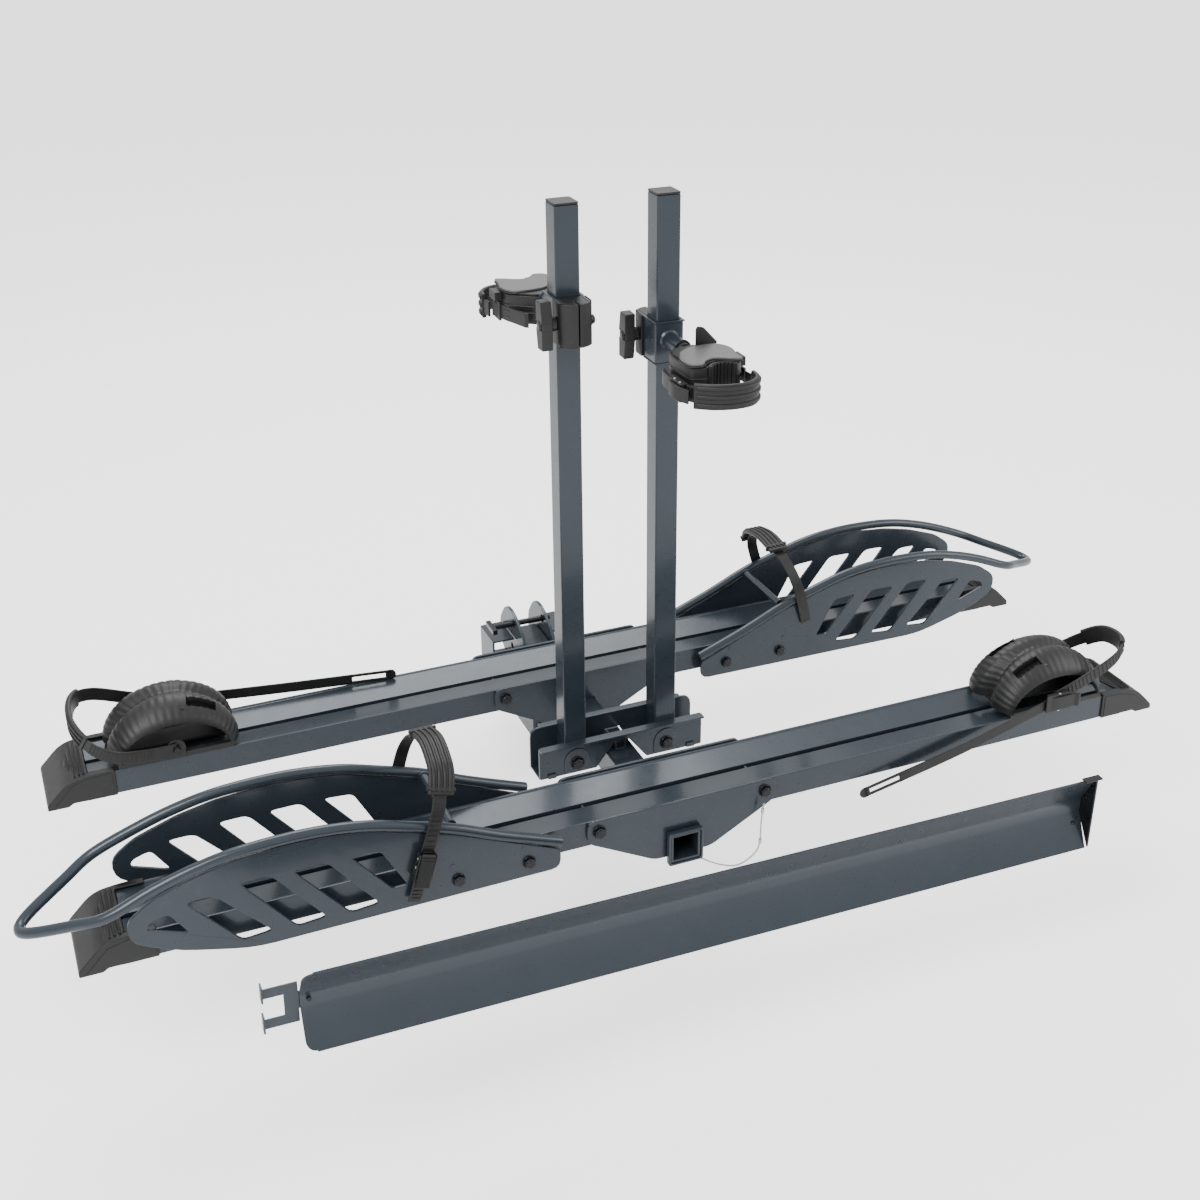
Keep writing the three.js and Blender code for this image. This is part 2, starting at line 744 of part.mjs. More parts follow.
// ---- loading ramp -------------------------------------------------------------------------------
// A shallow bent channel that stands on edge with its hollow side forwards, a two-armed hook bracket
// behind its left end and an end plate with a lip at its right end.
function rampSection(offset, low, high) {
  const t = RAMP.sheet;
  const front = [
    [-28, 74],
    [0, 24.7],
    [0, 0],
    [-25, -55.6],
  ];
  const back = [
    [-22.8, -56.6],
    [t, -0.5],
    [t, 25.3],
    [-25.8, 75.3],
  ];
  const points = [...front.reverse(), ...back.reverse()].map(([u, v]) => new THREE.Vector2(u + offset, v));
  return extrude("x", points.reverse(), low, high);
}

function buildRamp(root) {
  const ramp = place(new THREE.Group(), RAMP.x, RAMP.y, RAMP.z);
  ramp.rotation.y = RAMP.tilt;
  add(ramp, "ramp_sheet", rampSection(0, RAMP.left, RAMP.right), POWDER_COAT);
  const behind = RAMP.sheet + 1.2;
  const left = RAMP.left;
  const arms = [
    [27, 42, 53],
    [-22, -7, 5],
  ].map(([low, high, tip]) =>
    join(
      box([left - 50, behind, low], [left + 20, behind + 2.5, high]),
      box([left - 50, behind - 9, low], [left - 47.5, behind + 2.5, tip]),
    ),
  );
  const band = box([left - 20, behind, -20], [left + 60, behind + 2.5, 38]);
  const clear = cut(band, box([left - 1, behind - 1, 26], [left + 70, behind + 5, 60]),
    box([left - 1, behind - 1, -30], [left + 70, behind + 5, -1]));
  const hook = join(clear, ...arms.map((arm) => cut(arm, box([left - 1, -20, -30], [left + 30, 20, 60]))));
  add(ramp, "ramp_hook", hook, POWDER_COAT);
  const end = RAMP.right + GAP;
  const plate = extrude("x", outline([
    [-28, -54, 3],
    [3, -2, 6],
    [3, 27, 6],
    [-28, 80, 3],
  ]), end, end + 3);
  const lip = box([end - 28, -38, 78], [end + 3, -26, 81]);
  add(ramp, "ramp_end_plate", join(plate, lip), BLACK_PLASTIC);
  root.add(ramp);
}

// ---- locking hitch pin --------------------------------------------------------------------------
function buildHitchPin(root) {
  const bolt = join(
    bar([-58.4, 0, 0], [-46.4, 0, 0], 13.9, 6),
    bar([-46.9, 0, 0], [57, 0, 0], HITCH_PIN / 2, 18),
  );
  add(root, "hitch_bolt", bolt, BLACK_STEEL);
  const body = bar([LOCK_X, 0, -34], [LOCK_X, 0, 33], LOCK_RADIUS, 28);
  const bore = bar([40, 0, 0], [58, 0, 0], HITCH_PIN / 2 + 0.5, 18);
  const keyway = bar([LOCK_X, 0, -36], [LOCK_X, 0, -14], 6, 16);
  add(root, "lock_body", cut(body, bore, keyway), BLACK_PLASTIC);
  const key = join(
    bar([LOCK_X, 0, -33.5], [LOCK_X, 0, -14.5], 5.5, 14),
    box([LOCK_X - 4, -1, -46], [LOCK_X + 4, 1, -33]),
    bar([LOCK_X, -1.2, -54], [LOCK_X, 1.2, -54], 11.5, 16),
  );
  add(root, "lock_key", key, BRIGHT_STEEL);
}

// The thin tether from the tray bracket's bolt to under the end of the spine.
function buildLanyard(root) {
  const route = [
    [134, -9, 45],
    [131, -10, 25],
    [129, -11, 0],
    [128, -12, -25],
    [118, -12, -45],
    [90, -12, -58],
    [60, -10, -50],
    [36, -4, -38],
    [22, 8, -31],
    [10, 20, -27.5],
  ].map(([x, y, z]) => [x, y - 800, z + DROP]);
  add(root, "lanyard_cable", sweep(route, 1.2, 60, 8), BRIGHT_STEEL);
}

// ---- the whole rack -----------------------------------------------------------------------------
const rack = new THREE.Group();
rack.name = "hitch_bike_rack";
buildHitch(rack);
buildSpine(rack);
buildTray(rack, "front");
buildTray(rack, "rear");
buildMast(rack);
buildClamp(rack, "right", POST_X, 0, -1);
buildClamp(rack, "left", -POST_X, Math.PI, 1);
buildRamp(rack);
buildHitchPin(rack);
buildLanyard(rack);

export default rack;
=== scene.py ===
"""Looks for a two-bike hitch rack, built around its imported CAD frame.

Lengths in this file are millimetres in the CAD's own frame, and a piece is scaled to metres when it is made.
"""

from __future__ import annotations

import json
import logging
import math
from dataclasses import dataclass, field
from enum import Enum
from typing import Callable, Iterable, Sequence

import bmesh
import bpy
from mathutils import Matrix, Vector

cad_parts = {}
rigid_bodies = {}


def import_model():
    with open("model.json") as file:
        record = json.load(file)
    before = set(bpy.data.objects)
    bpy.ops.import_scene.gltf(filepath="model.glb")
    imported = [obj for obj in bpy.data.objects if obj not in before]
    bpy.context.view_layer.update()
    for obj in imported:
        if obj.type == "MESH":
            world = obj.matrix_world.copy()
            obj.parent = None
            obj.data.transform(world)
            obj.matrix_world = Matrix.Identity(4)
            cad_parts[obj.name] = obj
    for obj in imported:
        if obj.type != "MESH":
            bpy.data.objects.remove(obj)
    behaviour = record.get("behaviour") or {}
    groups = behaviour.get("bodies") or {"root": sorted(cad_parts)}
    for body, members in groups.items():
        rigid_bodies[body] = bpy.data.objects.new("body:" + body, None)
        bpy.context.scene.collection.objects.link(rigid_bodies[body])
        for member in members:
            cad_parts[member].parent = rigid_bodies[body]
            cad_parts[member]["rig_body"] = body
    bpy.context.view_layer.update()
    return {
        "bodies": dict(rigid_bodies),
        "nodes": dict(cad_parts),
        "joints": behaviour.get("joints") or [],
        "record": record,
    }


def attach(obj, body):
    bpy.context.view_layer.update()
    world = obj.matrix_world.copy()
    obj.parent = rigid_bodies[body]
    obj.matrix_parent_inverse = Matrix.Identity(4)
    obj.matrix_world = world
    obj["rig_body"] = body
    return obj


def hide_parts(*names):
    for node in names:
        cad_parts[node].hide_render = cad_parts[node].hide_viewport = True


LOG = logging.getLogger("rack")
MM = 0.001
SPINE_HEIGHT = 120.0
TRAY_LINES = {"front": -731.5, "rear": -301.5}
HOOP_BOLTS = {"front": 369.0, "rear": 387.0}
MAST_LINE = -528.0
POST_OUT = 81.0
Point = Sequence[float]


# ---- finishes -----------------------------------------------------------------------------------
class Slot(Enum):
    """The record's material slots."""

    COAT = "powder_coat"
    PLASTIC = "black_plastic"
    RUBBER = "black_rubber"
    BLACK_STEEL = "black_steel"
    BRIGHT_STEEL = "bright_steel"


@dataclass(frozen=True)
class Finish:
    """How one surface looks.

    Args:
        name: the material's name.
        slot: the record slot that it belongs to; not used.
        dark: linear colour in the hollows of its fine mottling.
        light: linear colour on the crests.
        metallic: the shader's metallic value.
        rough: roughness where the surface is cleanest.
        rough_spread: how much rougher the mottling makes it.
        grain: size of the grain in repeats per metre.
        bump: depth of the grain in millimetres.
        coat: clear coat weight.
        worn: colour that rubbed spots wear towards.
        wear: how strong that wear is.
    """

    name: str
    slot: Slot
    dark: tuple[float, float, float]
    light: tuple[float, float, float]
    metallic: float = 0.0
    rough: float = 0.4
    rough_spread: float = 0.12
    grain: float = 900.0
    bump: float = 0.02
    coat: float = 0.0
    worn: tuple[float, float, float] = (0.3, 0.3, 0.3)
    wear: float = 0.0

    def material(self) -> bpy.types.Material:
        """The node material for this finish, made once.

        Returns:
            The material.
        """
        made = bpy.data.materials.get(self.name)
        if made:
            return made
        made = bpy.data.materials.new(self.name)
        made.use_nodes = True
        tree = made.node_tree
        shader = tree.nodes["Principled BSDF"]
        shader.inputs["Metallic"].default_value = self.metallic
        shader.inputs["Coat Weight"].default_value = self.coat
        shader.inputs["Coat Roughness"].default_value = 0.12
        place = tree.nodes.new("ShaderNodeTexCoord")
        skin = tree.nodes.new("ShaderNodeGroup")
        skin.node_tree = surface_group()
        values = {
            "Dark": (*self.dark, 1.0),
            "Light": (*self.light, 1.0),
            "Worn": (*self.worn, 1.0),
            "Grain": self.grain,
            "Rough": self.rough,
            "Rough Spread": self.rough_spread,
            "Wear": self.wear,
        }
        for socket, value in values.items():
            skin.inputs[socket].default_value = value
        bump = tree.nodes.new("ShaderNodeBump")
        bump.inputs["Strength"].default_value = 0.6
        bump.inputs["Distance"].default_value = self.bump * MM
        link = tree.links.new
        link(place.outputs["Object"], skin.inputs["Vector"])
        link(skin.outputs["Color"], shader.inputs["Base Color"])
        link(skin.outputs["Roughness"], shader.inputs["Roughness"])
        link(skin.outputs["Height"], bump.inputs["Height"])
        link(bump.outputs["Normal"], shader.inputs["Normal"])
        return made


def surface_group() -> bpy.types.NodeTree:
    """The node group that every finish uses: mottled colour, roughness, fine grain and rubbed spots.

    Returns:
        The node group, made once.
    """
    made = bpy.data.node_groups.get("surface skin")
    if made:
        return made
    group = bpy.data.node_groups.new("surface skin", "ShaderNodeTree")
    face = group.interface
    face.new_socket("Vector", in_out="INPUT", socket_type="NodeSocketVector")
    for name in ("Dark", "Light", "Worn"):
        face.new_socket(name, in_out="INPUT", socket_type="NodeSocketColor")
    for name in ("Grain", "Rough", "Rough Spread", "Wear"):
        face.new_socket(name, in_out="INPUT", socket_type="NodeSocketFloat")
    face.new_socket("Color", in_out="OUTPUT", socket_type="NodeSocketColor")
    for name in ("Roughness", "Height"):
        face.new_socket(name, in_out="OUTPUT", socket_type="NodeSocketFloat")
    nodes, link = group.nodes, group.links.new
    given = nodes.new("NodeGroupInput")
    result = nodes.new("NodeGroupOutput")
    cloud = noise(nodes, 14.0, 3.0)
    smear = noise(nodes, 55.0, 4.0)
    grain = noise(nodes, 900.0, 2.0)
    for texture in (cloud, smear, grain):
        link(given.outputs["Vector"], texture.inputs["Vector"])
    link(given.outputs["Grain"], grain.inputs["Scale"])
    mottle = nodes.new("ShaderNodeMix")
    mottle.data_type = "RGBA"
    link(cloud.outputs["Fac"], mottle.inputs["Factor"])
    link(given.outputs["Dark"], mottle.inputs["A"])
    link(given.outputs["Light"], mottle.inputs["B"])
    rubbed = nodes.new("ShaderNodeMapRange")
    rubbed.inputs["From Min"].default_value = 0.62
    rubbed.inputs["From Max"].default_value = 0.8
    link(smear.outputs["Fac"], rubbed.inputs["Value"])
    amount = nodes.new("ShaderNodeMath")
    amount.operation = "MULTIPLY"
    link(rubbed.outputs["Result"], amount.inputs[0])
    link(given.outputs["Wear"], amount.inputs[1])
    wear = nodes.new("ShaderNodeMix")
    wear.data_type = "RGBA"
    link(amount.outputs["Value"], wear.inputs["Factor"])
    link(mottle.outputs["Result"], wear.inputs["A"])
    link(given.outputs["Worn"], wear.inputs["B"])
    spread = nodes.new("ShaderNodeMath")
    spread.operation = "MULTIPLY_ADD"
    link(smear.outputs["Fac"], spread.inputs[0])
    link(given.outputs["Rough Spread"], spread.inputs[1])
    link(given.outputs["Rough"], spread.inputs[2])
    link(wear.outputs["Result"], result.inputs["Color"])
    link(spread.outputs["Value"], result.inputs["Roughness"])
    link(grain.outputs["Fac"], result.inputs["Height"])
    return group


def noise(nodes: bpy.types.Nodes, scale: float, detail: float) -> bpy.types.Node:
    """A noise texture node.

    Args:
        nodes: where it goes.
        scale: repeats per metre.
        detail: its octaves.

    Returns:
        The node.
    """
    node = nodes.new("ShaderNodeTexNoise")
    node.inputs["Scale"].default_value = scale
    node.inputs["Detail"].default_value = detail
    return node


COAT = Finish(
    "slate powder coat", Slot.COAT, (0.024, 0.034, 0.045), (0.031, 0.043, 0.056), metallic=0.3, rough=0.23,
    rough_spread=0.12, grain=1400, bump=0.03, coat=0.3, worn=(0.05, 0.065, 0.08), wear=0.25,
)
MOULDED = Finish(
    "textured black moulding", Slot.PLASTIC, (0.008, 0.008, 0.0085), (0.012, 0.012, 0.0125), rough=0.4,
    grain=2200, bump=0.06, worn=(0.06, 0.06, 0.06), wear=0.3,
)
SATIN_PLATE = Finish(
    "satin grey cover", Slot.PLASTIC, (0.085, 0.085, 0.085), (0.105, 0.105, 0.105), rough=0.3, grain=1800,
    bump=0.03, coat=0.2,
)
STRAP = Finish(
    "black strap rubber", Slot.RUBBER, (0.007, 0.007, 0.007), (0.011, 0.011, 0.011), rough=0.42, grain=1600,
    bump=0.04, worn=(0.05, 0.05, 0.05), wear=0.35,
)
BLACK_STEEL = Finish(
    "black oxide steel", Slot.BLACK_STEEL, (0.008, 0.009, 0.012), (0.014, 0.015, 0.019), metallic=0.6,
    rough=0.2, grain=700, bump=0.01, coat=0.3, worn=(0.08, 0.08, 0.09), wear=0.3,
)
BRIGHT_STEEL = Finish(
    "nickel plated steel", Slot.BRIGHT_STEEL, (0.56, 0.56, 0.55), (0.68, 0.68, 0.67), metallic=1.0,
    rough=0.22, grain=600, bump=0.01, worn=(0.4, 0.39, 0.37), wear=0.3,
)
CABLE = Finish(
    "coated steel cable", Slot.BRIGHT_STEEL, (0.4, 0.4, 0.4), (0.55, 0.55, 0.55), metallic=0.4, rough=0.35,
    grain=2500, bump=0.05,
)


# ---- shaping tools ------------------------------------------------------------------------------
def smooth_line(points: Iterable[Point], steps: int) -> list[Vector]:
    """Points on a smooth curve through the given ones, a few for each span.

    Args:
        points: the points it passes through.
        steps: how many it takes for each span.

    Returns:
        The curve's points.
    """
    knots = [Vector(p) for p in points]
    knots = [2 * knots[0] - knots[1], *knots, 2 * knots[-1] - knots[-2]]
    line: list[Vector] = []
    for a, b, c, d in zip(knots, knots[1:], knots[2:], knots[3:]):
        for i in range(steps):
            t = i / steps
            square, cube = 2 * a - 5 * b + 4 * c - d, 3 * b - a - 3 * c + d
            line.append(0.5 * (2 * b + (c - a) * t + square * t * t + cube * t**3))
    return [*line, knots[-2]]


def frames_along(line: Sequence[Vector], across: Point, carried: bool = False) -> list[Matrix]:
    """Frames along a line: X stays as near to a given direction as it can, and Z runs along the line.

    Args:
        line: the points.
        across: the direction that the section's width keeps.
        carried: whether the width turns with the line instead, for round sections on any path.

    Returns:
        One matrix for each point.
    """
    frames = []
    wide = Vector(across)
    for i, point in enumerate(line):
        along = (line[min(i + 1, len(line) - 1)] - line[max(i - 1, 0)]).normalized()
        width = (wide - wide.dot(along) * along).normalized()
        if carried:
            wide = width
        turn = Matrix((width, along.cross(width), along)).transposed()
        frames.append(Matrix.Translation(point) @ turn.to_4x4())
    return frames


def ring_of(bm: bmesh.types.BMesh, points: Iterable[Point]) -> list[bmesh.types.BMEdge]:
    """A closed ring of edges through the points, in a mesh being built."""
    verts = [bm.verts.new(Vector(p)) for p in points]
    return [bm.edges.new((a, b)) for a, b in zip(verts, [*verts[1:], verts[0]])]


def cap_ends(bm: bmesh.types.BMesh) -> None:
    """Closes every open end of a mesh with one face."""
    bmesh.ops.holes_fill(bm, edges=[e for e in bm.edges if e.is_boundary], sides=0)


def sweep(
    bm: bmesh.types.BMesh, section: Sequence[Point], frames: Sequence[Matrix], closed: bool = False
) -> None:
    """Pushes a flat section along frames.

    Args:
        bm: the mesh being built.
        section: the section's outline, in each frame's X and Y, and Z where it isn't flat.
        frames: where the section stands.
        closed: whether the last section joins the first.
    """
    part = bmesh.new()
    edges = ring_of(part, [frames[0] @ Vector((*place, 0)[:3]) for place in section])
    first = list(edges)
    for before, after in zip(frames, frames[1:]):
        made = bmesh.ops.extrude_edge_only(part, edges=edges)["geom"]
        verts = [g for g in made if isinstance(g, bmesh.types.BMVert)]
        edges = [g for g in made if isinstance(g, bmesh.types.BMEdge) and all(v in verts for v in g.verts)]
        bmesh.ops.transform(part, matrix=after @ before.inverted(), verts=verts)
    if closed:
        bmesh.ops.bridge_loops(part, edges=[*first, *edges])
    else:
        cap_ends(part)
    absorb(bm, part)


def absorb(bm: bmesh.types.BMesh, part: bmesh.types.BMesh) -> None:
    """Adds a finished closed part to a mesh, with its faces turned outwards.

    Args:
        bm: the mesh being built.
        part: what is added, which is used up.
    """
    bmesh.ops.recalc_face_normals(part, faces=part.faces)
    mesh = bpy.data.meshes.new("part")
    part.to_mesh(mesh)
    part.free()
    bm.from_mesh(mesh)
    bpy.data.meshes.remove(mesh)


def prism(bm: bmesh.types.BMesh, outline: Sequence[Point], axis: str, low: float, high: float) -> None:
    """A flat outline drawn out along an axis.

    Args:
        bm: the mesh being built.
        outline: corners in the other two axes, in X, Y, Z order.
        axis: X, Y or Z.
        low: where it starts.
        high: where it ends.
    """
    turn = {
        "X": Matrix(((0, 0, 1), (1, 0, 0), (0, 1, 0))),
        "Y": Matrix(((1, 0, 0), (0, 0, 1), (0, 1, 0))),
        "Z": Matrix.Identity(3),
    }[axis].to_4x4()
    frames = [turn @ Matrix.Translation((0, 0, low)), turn @ Matrix.Translation((0, 0, high))]
    sweep(bm, outline, frames)


def block(bm: bmesh.types.BMesh, low: Point, high: Point, turn: Matrix | None = None) -> None:
    """A box between two corners, turned about its middle if asked.

    Args:
        bm: the mesh being built.
        low: its lowest corner.
        high: its highest corner.
        turn: how it is turned, if it is.
    """
    size = Vector(high) - Vector(low)
    middle = (Vector(high) + Vector(low)) / 2
    matrix = Matrix.Translation(middle) @ (turn or Matrix.Identity(4)) @ Matrix.Diagonal((*size, 1))
    bmesh.ops.create_cube(bm, size=1, matrix=matrix)


def rod(
    bm: bmesh.types.BMesh, start: Point, end: Point, radius: float, sides: int = 24, tip: float | None = None
) -> None:
    """A round or many-sided bar.

    Args:
        bm: the mesh being built.
        start: one end's middle.
        end: the other end's middle.
        radius: radius at the start.
        sides: how many sides it has.
        tip: radius at the end, if it differs.
    """
    a, b = Vector(start), Vector(end)
    matrix = Matrix.Translation((a + b) / 2) @ (b - a).to_track_quat("Z", "Y").to_matrix().to_4x4()
    tip = radius if tip is None else tip
    bmesh.ops.create_cone(
        bm, cap_ends=True, segments=sides, radius1=radius, radius2=tip, depth=(b - a).length, matrix=matrix
    )


def collar(
    bm: bmesh.types.BMesh, middle: Point, axis: Point, profile: Sequence[Point], steps: int = 32
) -> None:
    """A ring spun round an axis from its section.

    Args:
        bm: the mesh being built.
        middle: the ring's middle.
        axis: the axis it is spun round.
        profile: the section's corners as (radius, height).
        steps: steps in a full turn.
    """
    part = bmesh.new()
    edges = ring_of(part, [(r, 0, h) for r, h in profile])
    verts = list({v for e in edges for v in e.verts})
    bmesh.ops.spin(
        part, geom=[*verts, *edges], cent=(0, 0, 0), axis=(0, 0, 1), angle=math.tau, steps=steps,
        use_merge=True,
    )
    bmesh.ops.remove_doubles(part, verts=part.verts, dist=1e-4)
    matrix = Matrix.Translation(middle) @ Vector(axis).to_track_quat("Z", "Y").to_matrix().to_4x4()
    bmesh.ops.transform(part, matrix=matrix, verts=part.verts)
    absorb(bm, part)


def circle(radius: float, sides: int = 20) -> list[tuple[float, float]]:
    """A round section."""
    turns = [math.tau * i / sides for i in range(sides)]
    return [(radius * math.cos(turn), radius * math.sin(turn)) for turn in turns]


def rounded(width: float, height: float, radius: float, steps: int = 3) -> list[tuple[float, float]]:
    """A rounded rectangle section about its middle.

    Args:
        width: its width.
        height: its height.
        radius: radius of its corners.
        steps: steps in each corner.

    Returns:
        The corners in order.
    """
    points = []
    for x, y, start in ((1, 1, 0), (-1, 1, 90), (-1, -1, 180), (1, -1, 270)):
        for i in range(steps + 1):
            angle = math.radians(start + 90 * i / steps)
            points.append(
                (
                    x * (width / 2 - radius) + radius * math.cos(angle),
                    y * (height / 2 - radius) + radius * math.sin(angle),
                )
            )
    return points


def hex_head(bm: bmesh.types.BMesh, seat: Point, out: Point, size: float = 9.6, height: float = 6.5) -> None:
    """A flanged hexagon head or nut standing out from a face.

    Args:
        bm: the mesh being built.
        seat: the middle of its seat.
        out: the way it stands.
        size: its corner radius.
        height: its height over the flange.
    """
    a, n = Vector(seat), Vector(out).normalized()
    rod(bm, a + 0.2 * n, a + 2 * n, size * 1.18, 28, size * 1.1)
    rod(bm, a + 1.8 * n, a + (height + 0.6) * n, size, 6)
    rod(bm, a + (height + 0.5) * n, a + (height + 1.7) * n, size * 0.84, 18, size * 0.72)


# ---- pieces -------------------------------------------------------------------------------------
@dataclass
class Edge:
    """How a piece's corners are finished.

    Args:
        width: bevel width in millimetres, or 0 for none.
        segments: bevel segments.
        angle: corners sharper than this many degrees are bevelled.
    """

    width: float = 0.8
    segments: int = 2
    angle: float = 32.0


@dataclass
class Workshop:
    """Turns finished meshes into pieces that ride on the CAD's bodies.

    Args:
        frame: the CAD frame.
        made: names of the pieces made so far.
    """

    frame: dict
    made: list[str] = field(default_factory=list)

    def piece(
        self,
        bm: bmesh.types.BMesh,
        name: str,
        body: str,
        finish: Finish,
        place: Matrix | None = None,
        edge: Edge | None = None,
        replaces: Sequence[str] = (),
    ) -> bpy.types.Object:
        """Makes one piece.

        Args:
            bm: its mesh in millimetres, which is used up.
            name: its name.
            body: the CAD body that it rides on.
            finish: how it looks.
            place: moves it from its own frame to the rack's.
            edge: how its corners are finished.
            replaces: the CAD nodes it stands for.

        Returns:
            The piece.
        """
        edge = edge or Edge()
        matrix = Matrix.Diagonal((MM, MM, MM, 1)) @ (place or Matrix.Identity(4))
        bmesh.ops.transform(bm, matrix=matrix, verts=bm.verts)
        mesh = bpy.data.meshes.new(name)
        bm.to_mesh(mesh)
        bm.free()
        return self.dress(mesh, name, body, finish, edge, replaces)

    def dress(
        self,
        mesh: bpy.types.Mesh,
        name: str,
        body: str,
        finish: Finish,
        edge: Edge,
        replaces: Sequence[str],
    ) -> bpy.types.Object:
        """Links a mesh as a piece, with its finish, its bevel and its body.

        Args:
            mesh: the mesh in metres.
            name: the piece's name.
            body: the CAD body that it rides on.
            finish: how it looks.
            edge: how its corners are finished.
            replaces: the CAD nodes it stands for.

        Returns:
            The piece.
        """
        mesh.shade_smooth()
        piece = bpy.data.objects.new(name, mesh)
        bpy.context.scene.collection.objects.link(piece)
        mesh.materials.clear()
        mesh.materials.append(finish.material())
        if edge.width:
            bevel = piece.modifiers.new("edges", "BEVEL")
            bevel.width = edge.width * MM
            bevel.segments = edge.segments
            bevel.limit_method = "ANGLE"
            bevel.angle_limit = math.radians(edge.angle)
            bevel.use_clamp_overlap = False
            piece.modifiers.new("flat faces", "WEIGHTED_NORMAL").keep_sharp = True
        else:
            mesh.set_sharp_from_angle(angle=math.radians(edge.angle))
        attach(piece, body)
        if replaces:
            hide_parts(*replaces)
        self.made.append(name)
        LOG.info("made %s on %s", name, body)
        return piece

    def from_node(
        self,
        node: str,
        finish: Finish,
        edge: Edge | None = None,
        cutters: Sequence[Callable] = (),
        merge: bool = True,
    ) -> bpy.types.Object:
        """Makes a piece from a CAD node's own shape with its corners softened.

        Args:
            node: the CAD node, which the piece replaces.
            finish: how it looks.
            edge: how its corners are finished.
            cutters: functions that fill a mesh with shapes to cut away, in millimetres.
            merge: whether its flat faces are merged first.

        Returns:
            The piece.
        """
        source = self.frame["nodes"][node]
        bm = bmesh.new()
        bm.from_mesh(source.data)
        bmesh.ops.remove_doubles(bm, verts=bm.verts, dist=2e-5)
        if merge:
            bmesh.ops.dissolve_limit(bm, angle_limit=math.radians(0.6), verts=bm.verts, edges=bm.edges)
        mesh = bpy.data.meshes.new(node + "_soft")
        bm.to_mesh(mesh)
        bm.free()
        for cutter in cutters:
            mesh = carve(mesh, cutter)
        return self.dress(mesh, node + "_shape", source["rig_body"], finish, edge or Edge(), [node])


def carve(mesh: bpy.types.Mesh, fill: Callable[[bmesh.types.BMesh], None]) -> bpy.types.Mesh:
    """Cuts shapes out of a mesh.

    Args:
        mesh: the mesh in metres.
        fill: fills a mesh with the shapes to cut away, in millimetres.

    Returns:
        A new mesh without them.
    """
    tool = bmesh.new()
    fill(tool)
    bmesh.ops.scale(tool, vec=(MM, MM, MM), verts=tool.verts)
    tool_mesh = bpy.data.meshes.new("cutter")
    tool.to_mesh(tool_mesh)
    tool.free()
    body = bpy.data.objects.new("body", mesh)
    cutter = bpy.data.objects.new("cutter", tool_mesh)
    for item in (body, cutter):
        bpy.context.scene.collection.objects.link(item)
    cut = body.modifiers.new("cut", "BOOLEAN")
    cut.operation = "DIFFERENCE"
    cut.solver = "EXACT"
    cut.use_self = True
    cut.object = cutter
    result = bpy.data.meshes.new_from_object(body.evaluated_get(bpy.context.evaluated_depsgraph_get()))
    bpy.data.objects.remove(body)
    bpy.data.objects.remove(cutter)
    return result


